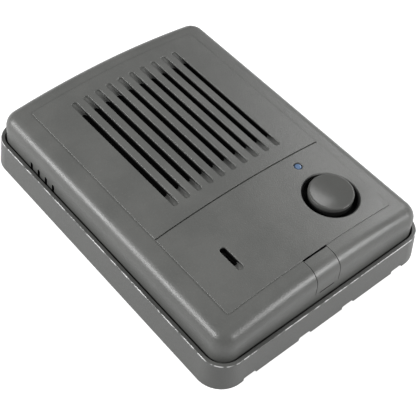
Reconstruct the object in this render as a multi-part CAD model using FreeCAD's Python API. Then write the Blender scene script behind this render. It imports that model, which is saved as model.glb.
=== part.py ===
import FreeCAD, Part
import math
import os

from FreeCAD import Vector

# Gate intercom station, modelled lying on its back as it leaves the box.
# X runs across its width, Y up the wall towards its top edge, Z out of the wall.
# The wall plane is Z = 0 and the middle of the back is the origin. Sizes in millimetres.

# Tray that goes on the wall
BODY_WIDTH = 98.0
BODY_HEIGHT = 131.0
BASE_CORNER_R = 9.7
BASE_LEAN = 1.2            # the rim's outline is this much inside the back's outline
RIM_HEIGHT = 11.8
RIM_WIDTH = 1.4
RIM_EDGE_R = 0.35
FLOOR_THICKNESS = 2.0
BACK_RECESS = 1.2          # the back is hollowed inside a border that meets the wall
BACK_BORDER = 4.0
DRAIN_XS = (-34.8, -10.2, 10.2, 34.8)
DRAIN_WIDTH = 5.5
DRAIN_DEPTH = 1.2

# Fixing to a wall box
SLOT_SPACING = 83.5
SLOT_LENGTH = 9.0
SLOT_WIDTH = 4.5
SLOT_PAD = 3.2             # width of the pad round each slot
CABLE_ENTRY_Y = -8.0
CABLE_ENTRY_WIDTH = 28.0
CABLE_ENTRY_HEIGHT = 14.0
CABLE_ENTRY_LIP = 1.4

# Front cover
RIM_GAP = 0.7              # dark gap between the rim and the cover's side wall
COVER_DRAFT = 2.0          # degrees
COVER_WALL = 2.0
CROWN_RADIUS = 281.0
FACE_THICKNESS = 2.0
EDGE_R = 5.5
PANEL_SIDE_MARGIN = 12.3   # from the tray's side to the panel
PANEL_END_MARGIN = 11.7
PANEL_STEP = 0.35
PANEL_CORNER_R = 0.6
GROOVE_HEIGHT = 36.3       # groove above the panel's lower edge
GROOVE_WIDTH = 0.55
GROOVE_DEPTH = 0.5
PANEL_EDGE_R = 0.15
OPENING_EDGE_R = 0.25      # rounding of the slots and small holes in the face
EDGE_MATCH = 0.01

# Hooks at the top of the tray that hold the cover
LUG_X = 25.0
LUG_WIDTH = 8.0
LUG_HEIGHT = 2.0
LUG_Z = 6.0
LUG_BITE = 1.6             # how far a hook reaches into the cover's wall
LUG_GAP = 0.3

# Vent notches low on the cover's left side
VENT_COUNT = 4
VENT_TOP_Y = 41.6
VENT_PITCH = 4.4
VENT_WIDTH = 1.4
VENT_RISE = 2.4            # how far a notch shows above the rim
VENT_DEPTH = 4.0           # how far it runs on below the rim

# Speaker grille
GRILLE_COUNT = 10
GRILLE_PITCH = 5.13
GRILLE_SLOT_WIDTH = 2.3
GRILLE_X = 0.4
GRILLE_TOP_MARGIN = 5.65   # from the panel's upper edge
GRILLE_FOOT_MARGIN = 6.25  # from the groove
RAMP_LENGTH = 7.2          # sloping floor at each end of a slot
RAMP_START = 0.35          # depth of the floor at the slot's end
RAMP_END = 1.55            # depth of the floor where the slot goes through

# Microphone slot
MIC_SIDE_MARGIN = 14.1     # from the panel's left edge to the slot's middle
MIC_HEIGHT = 14.85         # above the panel's lower edge
MIC_SLOT_LENGTH = 10.6
MIC_RAMP_START = 0.0
MIC_SLOT_WIDTH = 2.4
MIC_RAMP_LENGTH = 4.2

# Indicator
LED_SIDE_MARGIN = 14.6     # from the panel's right edge
LED_HEIGHT = 30.9          # above the panel's lower edge
LED_HOLE_R = 1.6
LENS_GAP = 0.12
LENS_SINK = 0.25           # the lens sits this much below the panel
LENS_FLANGE_R = 2.4
LENS_FLANGE_HEIGHT = 1.2
LENS_FLANGE_WALL = 1.2     # of the collar that centres the flange
LENS_SEAT_GAP = 0.02
LENS_STANDOFF = 0.64       # air between the lens and the diode behind it
LENS_EDGE_R = 0.6

# Call button
BUTTON_SIDE_MARGIN = 14.7  # from the panel's right edge to the button's middle
BUTTON_HEIGHT = 14.6       # above the panel's lower edge
BUTTON_R = 8.0
BUTTON_PROUD = 1.85
BUTTON_CAP_HEIGHT = 4.2
BUTTON_DISH = 0.55
BUTTON_RIM = 0.7           # width of the rim round the dish
BUTTON_EDGE_R = 0.35
BUTTON_TRAVEL = 1.2
WELL_GAP = 2.0             # moat round the cap
WELL_DEPTH = 4.2
WELL_WALL = 1.6
WELL_EDGE_R = 0.6
STEM_WALL = 1.0
STEM_GAP = 0.25
GUIDE_WALL = 1.6
GUIDE_LENGTH = 2.1
SEAL_THICKNESS = 0.5
SEAL_MARGIN = 0.6          # between the seal's edge and the moat's wall
RETAINER_THICKNESS = 0.55
RETAINER_WIDTH = 1.85
RETAINER_BITE = 0.45       # depth of the stem's groove
RETAINER_GAP = 0.15
RETAINER_OPENING = 3.4
STEM_TAIL = 1.4            # stem left below the retainer
STEM_CLEARANCE = 1.0       # left between the stem and the board at full travel
SOCKET_WALL = 1.4
SOCKET_CLEARANCE = 0.75    # left between the socket and the switch at full travel
SPRING_WIRE_R = 0.25
SPRING_GAP = 0.26          # between the spring and the switch's corners
SPRING_PLAY = 0.4          # between the spring and the stem
SPRING_TURNS = 6

# Screw flap on the lower edge, and the screw under it
FLAP_WIDTH = 10.2
FLAP_THICKNESS = 1.4
FLAP_SIDE_GAP = 0.2
FLAP_TOP_GAP = 0.55
FLAP_SEAT_GAP = 0.2
FLAP_HINGE_RISE = 3.9      # fold line above the rim
FLAP_SEAM = 0.12
HINGE_GROOVE_LENGTH = 6.6
HINGE_GROOVE_WIDTH = 0.5
HINGE_GROOVE_DEPTH = 0.4
FLAP_LEDGE = 0.9           # cover left under each side edge of the flap
POCKET_WALL = 1.5          # of the cup under the flap
POCKET_DROP = 3.3          # pocket's floor below the fold line
POCKET_FLOOR_THICKNESS = 2.0
HEAD_CLEARANCE = 0.4       # round the screw's head
COVER_SCREW_R = 1.5
COVER_SCREW_HOLE_GAP = 0.2
COVER_SCREW_LENGTH = 8.0
COVER_SCREW_HEAD_R = 2.7
COVER_SCREW_HEAD_HEIGHT = 2.0
BOSS_WALL = 1.3
BOSS_GAP = 0.3
BORE_SPARE = 0.5           # bore left beyond a screw's tip
SCREW_SLOT_WIDTH = 0.8
SCREW_SLOT_DEPTH = 1.0
SCREW_SLOT_REACH = 1.3     # length of the cross in a head, in head radii
SCREW_DOME = 0.45          # rounding of a head, as a share of its height
SCREW_FIT = 0.05

# Circuit board
BOARD_MARGIN = 10.0        # from the tray's side to the board
BOARD_SPEAKER_GAP = 4.95
BOARD_POCKET_GAP = 1.5
BOARD_THICKNESS = 1.6
BOARD_CORNER_R = 2.0
BOARD_SCREW_INSET = 3.5
BOARD_POST_R = 3.0
BOARD_SCREW_R = 1.3
BOARD_SCREW_HEAD_R = 2.4
BOARD_SCREW_HEAD_HEIGHT = 1.6
BOARD_SCREW_LENGTH = 8.0
BOARD_SCREW_GAP = 0.15
PIN_R = 0.3
PIN_FIT = 0.05
PIN_TAIL = 0.8             # how far a pin stands out behind the board

# Speaker, 57 mm across
SPEAKER_R = 28.5
SPEAKER_SHEET = 0.8
BASKET_THROAT_R = 24.6
BASKET_BACK_R = 13.5
BASKET_DEPTH = 8.5         # from the flange's front to the basket's back
BASKET_WINDOWS = 4
BASKET_WINDOW_WIDTH = 14.0
CONE_THICKNESS = 0.35
CONE_MOUTH_R = 22.6
CONE_LIP = 0.9
CONE_STANDOFF = 3.0        # cone's throat above the basket's back
COIL_COLLAR = 0.6          # coil former above the cone's throat
DUST_CAP_HEIGHT = 1.6
SURROUND_THICKNESS = 0.3
SURROUND_ROLL_R = 1.1
SURROUND_RISE = 0.5
COIL_R = 6.9
COIL_FIT = 0.02
COIL_WALL = 0.4
COIL_LENGTH = 5.0
SPIDER_RIM = 0.8
SPIDER_RIBS = 4
SPIDER_RISE = 0.45
SPIDER_THICKNESS = 0.3
MAGNET_R = 16.0
MAGNET_HOLE_R = 9.0
MAGNET_THICKNESS = 4.5
PLATE_R = 15.0
PLATE_THICKNESS = 1.2
COIL_CLEARANCE = 0.35
COLLAR_WIDTH = 54.0
COLLAR_HEIGHT = 52.0
COLLAR_CORNER_R = 4.0
COLLAR_WALL = 1.5
COLLAR_DEPTH = 4.75        # from the panel's crown to the collar's end
GASKET_THICKNESS = 1.1
GASKET_MARGIN = 1.4        # foam outside the collar's hollow
GASKET_HOLE_GAP = 0.6      # play round the speaker's roll
CLIP_COUNT = 4
CLIP_POST_GAP = 0.5        # between the flange's edge and a post
CLIP_POST_R = 2.6
CLIP_WIDTH = 5.0
CLIP_THICKNESS = 0.8
CLIP_REACH = 5.5
CLIP_SCREW_R = 1.1
CLIP_SCREW_LENGTH = 3.6
CLIP_SCREW_HEAD_R = 2.1
CLIP_SCREW_HEAD_HEIGHT = 1.3
SCREEN_THICKNESS = 0.3
SCREEN_MARGIN = 0.4        # play between the screen and the collar
TAG_X = -10.0              # middle of the tags, from the speaker's centre
TAG_SPACING = 5.0
TAG_STRIP_WIDTH = 9.0
TAG_STRIP_DEPTH = 2.4
TAG_STRIP_THICKNESS = 1.2
TAG_WIDTH = 1.8
TAG_LENGTH = 2.4
TAG_THICKNESS = 0.4
WIRE_R = 0.5
WIRE_BEND_R = 1.2
WIRE_FIT = 0.05
LEAD_HOLE_INSET = 2.2      # from the board's upper edge

# Parts on the board
SWITCH_WIDTH = 6.0
SWITCH_HEIGHT = 4.4
SWITCH_PIN_OFFSET = 2.3
PLUNGER_R = 1.5
PLUNGER_GAP = 0.25
PLUNGER_FOOT = 1.6         # length of plunger inside the switch at rest
TERMINAL_POLES = 4
TERMINAL_PITCH = 5.0
TERMINAL_DEPTH = 8.2
TERMINAL_HEIGHT = 7.4
TERMINAL_EDGE = 8.0        # from the board's upper edge to the row of terminals
TERMINAL_END_WALL = 0.4
TERMINAL_FLOOR_GAP = 1.0   # between the block and the tray
TERMINAL_MOUTH = 3.0
TERMINAL_MOUTH_DEPTH = 4.5
TERMINAL_SILL = 2.8
TERMINAL_SCREW_R = 1.6
TERMINAL_SCREW_HEIGHT = 1.6
TERMINAL_SCREW_SINK = 0.4
TERMINAL_SCREW_GAP = 0.15
TERMINAL_WELL_DEPTH = 2.0
CAPSULE_R = 4.85
CAPSULE_HEIGHT = 4.4
CAPSULE_PIN_OFFSET = 1.27
BOOT_WALL = 1.3
BOOT_ROOF = 0.8
BOOT_HEIGHT = 5.4
BOOT_SLOT_LENGTH = 7.6
BOOT_SLOT_WIDTH = 1.8
BOOT_GAP = 0.2
MIC_COLLAR_WALL = 1.3
MIC_COLLAR_DEPTH = 4.4
LED_BODY_R = 1.5
LED_BODY_LENGTH = 4.4
LED_STANDOFF = 0.9
LED_PIN_OFFSET = 0.9
LED_FOOT_WIDTH = 0.35
LED_FOOT_HEIGHT = 1.0
CAPACITOR_R = 3.15
CAPACITOR_HEIGHT = 6.6
CAPACITOR_PIN_OFFSET = 1.2
CAPACITOR_GROOVE_Z = 1.0   # groove rolled into the can, above the board
CAPACITOR_GROOVE_WIDTH = 0.6
CAPACITOR_GROOVE_DEPTH = 0.25
CAPACITOR_SPOTS = ((-6.0, -31.0), (2.5, -31.0))
CHIP_SIZE = (10.0, 4.2, 1.7)
CHIP_SPOT = (-2.0, -42.0)
CHIP_LEGS = 8
CHIP_LEG_WIDTH = 0.45
CHIP_LEG_THICKNESS = 0.2
CHIP_LEG_REACH = 0.9       # foot of a leg, measured outwards from the bend
CHIP_END_MARGIN = 0.6
CHIP_STANDOFF = 0.15
RESISTOR_SIZE = (3.2, 1.6, 0.6)
RESISTOR_SPOTS = ((-33.0, -27.0), (-33.0, -30.5), (-9.0, -21.5), (-4.0, -21.5), (9.0, -25.0), (9.0, -28.5))

# Sizes worked out from the ones above. First across the face.
UP = Vector(0, 0, 1)
CUT = 1.0                  # how far cutters run past the material
COVER_INSET = BASE_LEAN + RIM_WIDTH + RIM_GAP
PANEL_WIDTH = BODY_WIDTH - 2 * PANEL_SIDE_MARGIN
PANEL_HEIGHT = BODY_HEIGHT - 2 * PANEL_END_MARGIN
PANEL_FOOT_Y = -PANEL_HEIGHT / 2
GROOVE_Y = PANEL_FOOT_Y + GROOVE_HEIGHT
MIC_X = MIC_SIDE_MARGIN - PANEL_WIDTH / 2
MIC_Y = PANEL_FOOT_Y + MIC_HEIGHT
LED_X = PANEL_WIDTH / 2 - LED_SIDE_MARGIN
LED_Y = PANEL_FOOT_Y + LED_HEIGHT
BUTTON_X = PANEL_WIDTH / 2 - BUTTON_SIDE_MARGIN
BUTTON_Y = PANEL_FOOT_Y + BUTTON_HEIGHT
GRILLE_LENGTH = PANEL_HEIGHT - GROOVE_HEIGHT - GRILLE_FOOT_MARGIN - GRILLE_TOP_MARGIN
GRILLE_Y = (PANEL_HEIGHT / 2 - GRILLE_TOP_MARGIN) - GRILLE_LENGTH / 2
POCKET_WIDTH = FLAP_WIDTH - 2 * FLAP_LEDGE
INNER_WALL_Y = COVER_INSET + COVER_WALL - BODY_HEIGHT / 2
COVER_SCREW_Y = INNER_WALL_Y + HEAD_CLEARANCE + COVER_SCREW_HEAD_R
POCKET_TOP_Y = COVER_SCREW_Y + COVER_SCREW_HEAD_R + HEAD_CLEARANCE
BOARD_WIDTH = BODY_WIDTH - 2 * BOARD_MARGIN
BOARD_TOP_EDGE = GRILLE_Y - SPEAKER_R - BOARD_SPEAKER_GAP
BOARD_BOTTOM_EDGE = POCKET_TOP_Y + POCKET_WALL + BOARD_POCKET_GAP
TERMINAL_Y = BOARD_TOP_EDGE - TERMINAL_EDGE
SPRING_R = SWITCH_WIDTH / math.sqrt(2) + SPRING_GAP + SPRING_WIRE_R
STEM_R = SPRING_R + SPRING_WIRE_R + SPRING_PLAY + STEM_WALL
WELL_R = BUTTON_R + WELL_GAP
CLIP_RADIUS = SPEAKER_R + CLIP_POST_GAP + CLIP_POST_R

# Levels, from the wall outwards. The panel stands as high as the button's stem needs.
FLOOR_TOP = BACK_RECESS + FLOOR_THICKNESS
FLAP_HINGE_Z = RIM_HEIGHT + FLAP_HINGE_RISE
POCKET_FLOOR_Z = FLAP_HINGE_Z - POCKET_DROP
BOARD_BACK_Z = FLOOR_TOP + TERMINAL_FLOOR_GAP + TERMINAL_HEIGHT
BOARD_FRONT_Z = BOARD_BACK_Z + BOARD_THICKNESS
STEM_END_Z = BOARD_FRONT_Z + STEM_CLEARANCE + BUTTON_TRAVEL
RETAINER_Z = STEM_END_Z + STEM_TAIL
GUIDE_END_Z = RETAINER_Z + RETAINER_THICKNESS + RETAINER_GAP
WELL_FLOOR_Z = GUIDE_END_Z + GUIDE_LENGTH + WELL_WALL
BUTTON_FACE_Z = WELL_FLOOR_Z + WELL_DEPTH
FACE_HEIGHT = BUTTON_FACE_Z + CROWN_RADIUS - math.sqrt(CROWN_RADIUS ** 2 - BUTTON_X ** 2)
BUTTON_TOP_Z = BUTTON_FACE_Z + BUTTON_PROUD
BUTTON_UNDERSIDE_Z = BUTTON_TOP_Z - BUTTON_CAP_HEIGHT
COLLAR_END_Z = FACE_HEIGHT - COLLAR_DEPTH
GASKET_Z = COLLAR_END_Z - GASKET_THICKNESS
SPEAKER_FLANGE_Z = GASKET_Z - SURROUND_THICKNESS
FLANGE_BACK_Z = SPEAKER_FLANGE_Z - SPEAKER_SHEET
BASKET_BACK_Z = SPEAKER_FLANGE_Z - BASKET_DEPTH
CONE_THROAT_Z = BASKET_BACK_Z + CONE_STANDOFF
COIL_TOP_Z = CONE_THROAT_Z + COIL_COLLAR


def face_z(x, drop=0.0):
    """Height of the crowned panel at x, or of a surface a fixed depth under it."""
    radius = CROWN_RADIUS - drop
    return FACE_HEIGHT - CROWN_RADIUS + math.sqrt(radius ** 2 - x ** 2)


def lowest_underside(x, reach):
    """Lowest point of the cover's underside within reach of x."""
    return face_z(abs(x) + reach, FACE_THICKNESS)


def cylinder(x, y, z, radius, height):
    return Part.makeCylinder(radius, height, Vector(x, y, z))


def ring(x, y, z, outer_r, inner_r, height):
    return cylinder(x, y, z, outer_r, height).cut(cylinder(x, y, z - CUT, inner_r, height + 2 * CUT))


def block(x0, x1, y0, y1, z0, z1):
    return Part.makeBox(x1 - x0, y1 - y0, z1 - z0, Vector(x0, y0, z0))


def block_at(x, y, z, width, height, depth):
    """Block centred on (x, y) that rises from z."""
    return block(x - width / 2, x + width / 2, y - height / 2, y + height / 2, z, z + depth)


def rounded_outline(width, height, radius, z, x=0.0, y=0.0):
    """Closed outline of a rectangle with round corners, centred on (x, y)."""
    edges = []
    reach_x = width / 2 - radius
    reach_y = height / 2 - radius
    corners = ((1, 1, 0), (-1, 1, 90), (-1, -1, 180), (1, -1, 270))
    arcs = []
    for sign_x, sign_y, start in corners:
        centre = Vector(x + sign_x * reach_x, y + sign_y * reach_y, z)
        points = []
        for degrees in (start, start + 45, start + 90):
            angle = math.radians(degrees)
            points.append(centre + Vector(radius * math.cos(angle), radius * math.sin(angle), 0))
        arcs.append(points)
    for index, points in enumerate(arcs):
        edges.append(Part.Arc(*points).toShape())
        following = arcs[(index + 1) % 4][0]
        if points[2].distanceToPoint(following) > 0.001:
            edges.append(Part.makeLine(points[2], following))
    return Part.Wire(edges)


def rounded_block(width, height, radius, z0, z1, x=0.0, y=0.0):
    outline = rounded_outline(width, height, radius, z0, x, y)
    return Part.Face(outline).extrude(Vector(0, 0, z1 - z0))


def oblong(x, y, z, length, width, height):
    """Round-ended slot shape, long along Y, that rises from z."""
    ends = (length - width) / 2
    shape = block_at(x, y, z, width, 2 * ends, height)
    for side in (-1, 1):
        shape = shape.fuse(cylinder(x, y + side * ends, z, width / 2, height))
    return shape.removeSplitter()


def polygon_face(points):
    return Part.Face(Part.makePolygon(points + [points[0]]))


def revolved(profile, x, y):
    """Solid turned about the upright line through (x, y) from points (radius, height)."""
    points = [Vector(x + radius, y, z) for radius, z in profile]
    return polygon_face(points).revolve(Vector(x, y, 0), UP, 360)


def crown(drop):
    """Everything under the crowned surface that lies a fixed depth under the panel."""
    radius = CROWN_RADIUS - drop
    centre_z = FACE_HEIGHT - CROWN_RADIUS
    half = BODY_WIDTH / 2 + CUT
    y0 = -BODY_HEIGHT / 2 - CUT
    edge_z = centre_z + math.sqrt(radius ** 2 - half ** 2)
    arc = Part.Arc(Vector(-half, y0, edge_z), Vector(0, y0, centre_z + radius), Vector(half, y0, edge_z))
    rest = Part.makePolygon([Vector(half, y0, edge_z), Vector(half, y0, -CUT), Vector(-half, y0, -CUT),
                             Vector(-half, y0, edge_z)])
    outline = Part.Wire([arc.toShape()] + rest.Edges)
    return Part.Face(outline).extrude(Vector(0, BODY_HEIGHT + 2 * CUT, 0))


def cover_outline(inset, z):
    """Outline of the cover's side wall at height z, moved inwards by inset."""
    lean = (z - RIM_HEIGHT) * math.tan(math.radians(COVER_DRAFT))
    edge = COVER_INSET + inset + lean
    return rounded_outline(BODY_WIDTH - 2 * edge, BODY_HEIGHT - 2 * edge, BASE_CORNER_R - edge, z)


def crowned_block(inset, drop, z0, edge_r):
    """Drafted block with a crowned top, rounded all round its upper edge."""
    outlines = [cover_outline(inset, z0), cover_outline(inset, FACE_HEIGHT + CUT)]
    shape = Part.makeLoft(outlines, True, True).common(crown(drop))
    top = max(shape.Faces, key=lambda face: face.CenterOfMass.z)
    return shape.makeFillet(edge_r, top.Edges)


def rear_base():
    top_inset = 2 * BASE_LEAN
    outlines = [
        rounded_outline(BODY_WIDTH, BODY_HEIGHT, BASE_CORNER_R, 0),
        rounded_outline(BODY_WIDTH - top_inset, BODY_HEIGHT - top_inset, BASE_CORNER_R - BASE_LEAN, RIM_HEIGHT)]
    shape = Part.makeLoft(outlines, True, True)
    rim = max(shape.Faces, key=lambda face: face.CenterOfMass.z)
    shape = shape.makeFillet(RIM_EDGE_R, rim.Edges)
    inside = 2 * (BASE_LEAN + RIM_WIDTH)
    inner_r = BASE_CORNER_R - inside / 2
    shape = shape.cut(rounded_block(BODY_WIDTH - inside, BODY_HEIGHT - inside, inner_r, FLOOR_TOP, RIM_HEIGHT + CUT))
    border = 2 * BACK_BORDER
    recess = rounded_block(BODY_WIDTH - border, BODY_HEIGHT - border, BASE_CORNER_R - BACK_BORDER, -CUT, BACK_RECESS)
    for side in (-1, 1):
        recess = recess.cut(wall_slot(side, SLOT_LENGTH + 2 * SLOT_PAD, SLOT_WIDTH + 2 * SLOT_PAD))
    shape = shape.cut(recess)
    shape = shape.fuse([cable_lip(), screw_boss()] + [cover_lug(side) for side in (-1, 1)])
    tools = [cable_entry(0, FLOOR_TOP + CABLE_ENTRY_LIP + CUT), screw_boss_bore()]
    tools += [wall_slot(side, SLOT_LENGTH, SLOT_WIDTH) for side in (-1, 1)]
    tools += [drain_notch(x) for x in DRAIN_XS]
    return shape.cut(tools).removeSplitter()


def wall_slot(side, length, width):
    return oblong(0, side * SLOT_SPACING / 2, -CUT, length, width, FLOOR_TOP + 2 * CUT)


def cable_entry(margin, top):
    width = CABLE_ENTRY_WIDTH + 2 * margin
    height = CABLE_ENTRY_HEIGHT + 2 * margin
    return rounded_block(width, height, height / 2 - 0.01, -CUT, top, 0, CABLE_ENTRY_Y)


def cable_lip():
    """Low lip round the cable entry, inside the tray."""
    lip = cable_entry(CABLE_ENTRY_LIP, FLOOR_TOP + CABLE_ENTRY_LIP)
    root = FLOOR_TOP - FLOOR_THICKNESS / 2
    return lip.cut(block_at(0, CABLE_ENTRY_Y, -CUT, BODY_WIDTH, BODY_WIDTH, root + CUT))


def screw_boss():
    root = FLOOR_TOP - FLOOR_THICKNESS / 2
    top = POCKET_FLOOR_Z - POCKET_FLOOR_THICKNESS - BOSS_GAP
    return cylinder(0, COVER_SCREW_Y, root, COVER_SCREW_R + BOSS_WALL, top - root)


def screw_boss_bore():
    depth = COVER_SCREW_LENGTH + BORE_SPARE
    return cylinder(0, COVER_SCREW_Y, POCKET_FLOOR_Z - depth, COVER_SCREW_R + SCREW_FIT, depth)


def cover_lug(side):
    """Wedge on the tray's top wall that goes through a window in the cover."""
    wall_y = BODY_HEIGHT / 2 - BASE_LEAN - RIM_WIDTH
    root_y = wall_y + RIM_WIDTH / 2
    tip_y = wall_y - RIM_GAP - LUG_BITE
    z0 = LUG_Z - LUG_HEIGHT / 2
    z1 = LUG_Z + LUG_HEIGHT / 2
    profile = [(root_y, z0), (tip_y, z0), (tip_y, LUG_Z), (wall_y, z1), (root_y, z1)]
    x0 = side * LUG_X - LUG_WIDTH / 2
    face = polygon_face([Vector(x0, y, z) for y, z in profile])
    return face.extrude(Vector(LUG_WIDTH, 0, 0))


def drain_notch(x):
    y0 = -BODY_HEIGHT / 2
    notch = block(x - DRAIN_WIDTH / 2, x + DRAIN_WIDTH / 2, y0 - CUT, y0 + BACK_BORDER + CUT, -CUT, DRAIN_DEPTH)
    upright = [edge for edge in notch.Edges
               if edge.BoundBox.XLength < 0.01 and edge.BoundBox.ZLength < 0.01 and edge.CenterOfMass.z > 0]
    return notch.makeFillet(DRAIN_DEPTH / 2, upright)


def slot_tool(x, y, length, width, ramps, ramp_length, ramp_start):
    """Cutter for a slot whose floor slopes up at the ends given in ramps."""
    top = face_z(x)
    bottom = top - 2 * FACE_THICKNESS
    depth = top + CUT - bottom
    shape = oblong(x, y, bottom, length, width, depth)
    for side in ramps:
        end_y = y + side * length / 2
        inner_y = end_y - side * ramp_length
        profile = [(end_y + side * CUT, top - ramp_start), (inner_y, top - RAMP_END), (inner_y, bottom - CUT),
                   (end_y + side * CUT, bottom - CUT)]
        face = polygon_face([Vector(x - width, py, pz) for py, pz in profile])
        ramp = face.extrude(Vector(2 * width, 0, 0))
        round_end = oblong(x, inner_y - side * width / 2, bottom - 2 * CUT, 2 * width, width, depth + 2 * CUT)
        shape = shape.cut(ramp.cut(round_end))
    return shape


def grille_slots():
    first = GRILLE_X - GRILLE_PITCH * (GRILLE_COUNT - 1) / 2
    xs = [first + GRILLE_PITCH * index for index in range(GRILLE_COUNT)]
    return [slot_tool(x, GRILLE_Y, GRILLE_LENGTH, GRILLE_SLOT_WIDTH, (-1, 1), RAMP_LENGTH, RAMP_START) for x in xs]


def microphone_slot():
    return slot_tool(MIC_X, MIC_Y, MIC_SLOT_LENGTH, MIC_SLOT_WIDTH, (-1,), MIC_RAMP_LENGTH, MIC_RAMP_START)


def vent_notches():
    outer_x = -BODY_WIDTH / 2
    tools = []
    for index in range(VENT_COUNT):
        y = VENT_TOP_Y - VENT_PITCH * index
        top = RIM_HEIGHT + VENT_RISE - VENT_WIDTH / 2
        body = block(outer_x, outer_x + COVER_INSET + 2 * COVER_WALL, y - VENT_WIDTH / 2, y + VENT_WIDTH / 2,
                     RIM_HEIGHT - VENT_DEPTH, top)
        round_top = Part.makeCylinder(VENT_WIDTH / 2, COVER_INSET + 2 * COVER_WALL, Vector(outer_x, y, top),
                                      Vector(1, 0, 0))
        tools.append(body.fuse(round_top))
    return tools


def panel():
    """Raised panel, following the crown."""
    slab = rounded_block(PANEL_WIDTH, PANEL_HEIGHT, PANEL_CORNER_R, RIM_HEIGHT, FACE_HEIGHT + CUT)
    return slab.common(crown(0)).cut(crown(FACE_THICKNESS / 2))


def panel_groove():
    bar = block_at(0, GROOVE_Y, RIM_HEIGHT, PANEL_WIDTH, GROOVE_WIDTH, FACE_HEIGHT)
    return bar.cut(crown(GROOVE_DEPTH))


def board_posts():
    x = BOARD_WIDTH / 2 - BOARD_SCREW_INSET
    ys = (BOARD_TOP_EDGE - BOARD_SCREW_INSET, BOARD_BOTTOM_EDGE + BOARD_SCREW_INSET)
    return [(side * x, y) for side in (-1, 1) for y in ys]


def clip_posts():
    spots = []
    for index in range(CLIP_COUNT):
        angle = 2 * math.pi * index / CLIP_COUNT
        spots.append((GRILLE_X + CLIP_RADIUS * math.cos(angle), GRILLE_Y + CLIP_RADIUS * math.sin(angle)))
    return spots


def collar():
    """Wall round the grille that the foam and the speaker press against."""
    outer = rounded_block(COLLAR_WIDTH + 2 * COLLAR_WALL, COLLAR_HEIGHT + 2 * COLLAR_WALL,
                          COLLAR_CORNER_R + COLLAR_WALL, COLLAR_END_Z, FACE_HEIGHT, GRILLE_X, GRILLE_Y)
    return outer.cut(rounded_block(COLLAR_WIDTH, COLLAR_HEIGHT, COLLAR_CORNER_R, 0, FACE_HEIGHT + CUT,
                                   GRILLE_X, GRILLE_Y))


def boot_top():
    return lowest_underside(MIC_X, CAPSULE_R + BOOT_WALL) - BOOT_GAP


def cover_ribs():
    """Posts, collars and the button well, before their bores are cut."""
    shapes = [collar()]
    for x, y in board_posts():
        shapes.append(cylinder(x, y, BOARD_FRONT_Z, BOARD_POST_R, FACE_HEIGHT))
    for x, y in clip_posts():
        shapes.append(cylinder(x, y, FLANGE_BACK_Z, CLIP_POST_R, FACE_HEIGHT))
    shapes.append(cylinder(BUTTON_X, BUTTON_Y, WELL_FLOOR_Z - WELL_WALL, WELL_R + WELL_WALL, FACE_HEIGHT))
    guide_r = STEM_R + STEM_GAP + GUIDE_WALL
    shapes.append(cylinder(BUTTON_X, BUTTON_Y, GUIDE_END_Z, guide_r, GUIDE_LENGTH + WELL_WALL / 2))
    flange_r = LENS_FLANGE_R + LENS_GAP
    under = lowest_underside(LED_X, flange_r)
    shapes.append(ring(LED_X, LED_Y, under - LENS_FLANGE_HEIGHT, flange_r + LENS_FLANGE_WALL, flange_r, FACE_HEIGHT))
    boot_r = CAPSULE_R + BOOT_WALL + BOOT_GAP
    shapes.append(ring(MIC_X, MIC_Y, boot_top() - MIC_COLLAR_DEPTH, boot_r + MIC_COLLAR_WALL, boot_r, FACE_HEIGHT))
    return shapes


def cover_cavity():
    """Room inside the cover's walls and face."""
    return crowned_block(COVER_WALL, FACE_THICKNESS, FLOOR_TOP - CUT, EDGE_R - COVER_WALL)


def flap_space(side_gap, top_gap, seam):
    """Room that the flap takes in the outer skin, with gaps round it."""
    half = FLAP_WIDTH / 2 + side_gap
    return block(-half, half, -BODY_HEIGHT, PANEL_FOOT_Y - top_gap, FLAP_HINGE_Z + seam, FACE_HEIGHT + CUT)


def flap_seat():
    depth = FLAP_THICKNESS + FLAP_SEAT_GAP
    under = crowned_block(depth, PANEL_STEP + depth, FLOOR_TOP, EDGE_R - depth)
    return flap_space(FLAP_SIDE_GAP, 0, 0).cut(under)


def hinge_groove():
    """Short groove along the fold line, cut half from the flap and half from the wall."""
    lean = (FLAP_HINGE_Z - RIM_HEIGHT) * math.tan(math.radians(COVER_DRAFT))
    wall_y = -BODY_HEIGHT / 2 + COVER_INSET + lean
    return block(-HINGE_GROOVE_LENGTH / 2, HINGE_GROOVE_LENGTH / 2, wall_y - CUT, wall_y + HINGE_GROOVE_DEPTH,
                 FLAP_HINGE_Z - HINGE_GROOVE_WIDTH / 2, FLAP_HINGE_Z + HINGE_GROOVE_WIDTH / 2)


def pocket_hollow():
    """Space for the screw's head under the flap, open to the flap's seat."""
    half = POCKET_WIDTH / 2
    lower = block(-half, half, INNER_WALL_Y, POCKET_TOP_Y, POCKET_FLOOR_Z, FACE_HEIGHT - EDGE_R)
    window = block(-half, half, -BODY_HEIGHT, PANEL_FOOT_Y - FLAP_SIDE_GAP, FLAP_HINGE_Z + FLAP_LEDGE,
                   FACE_HEIGHT + CUT)
    return lower.fuse(window)


def cover_screw_hole():
    return cylinder(0, COVER_SCREW_Y, FLOOR_TOP, COVER_SCREW_R + COVER_SCREW_HOLE_GAP, POCKET_FLOOR_Z)


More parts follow.
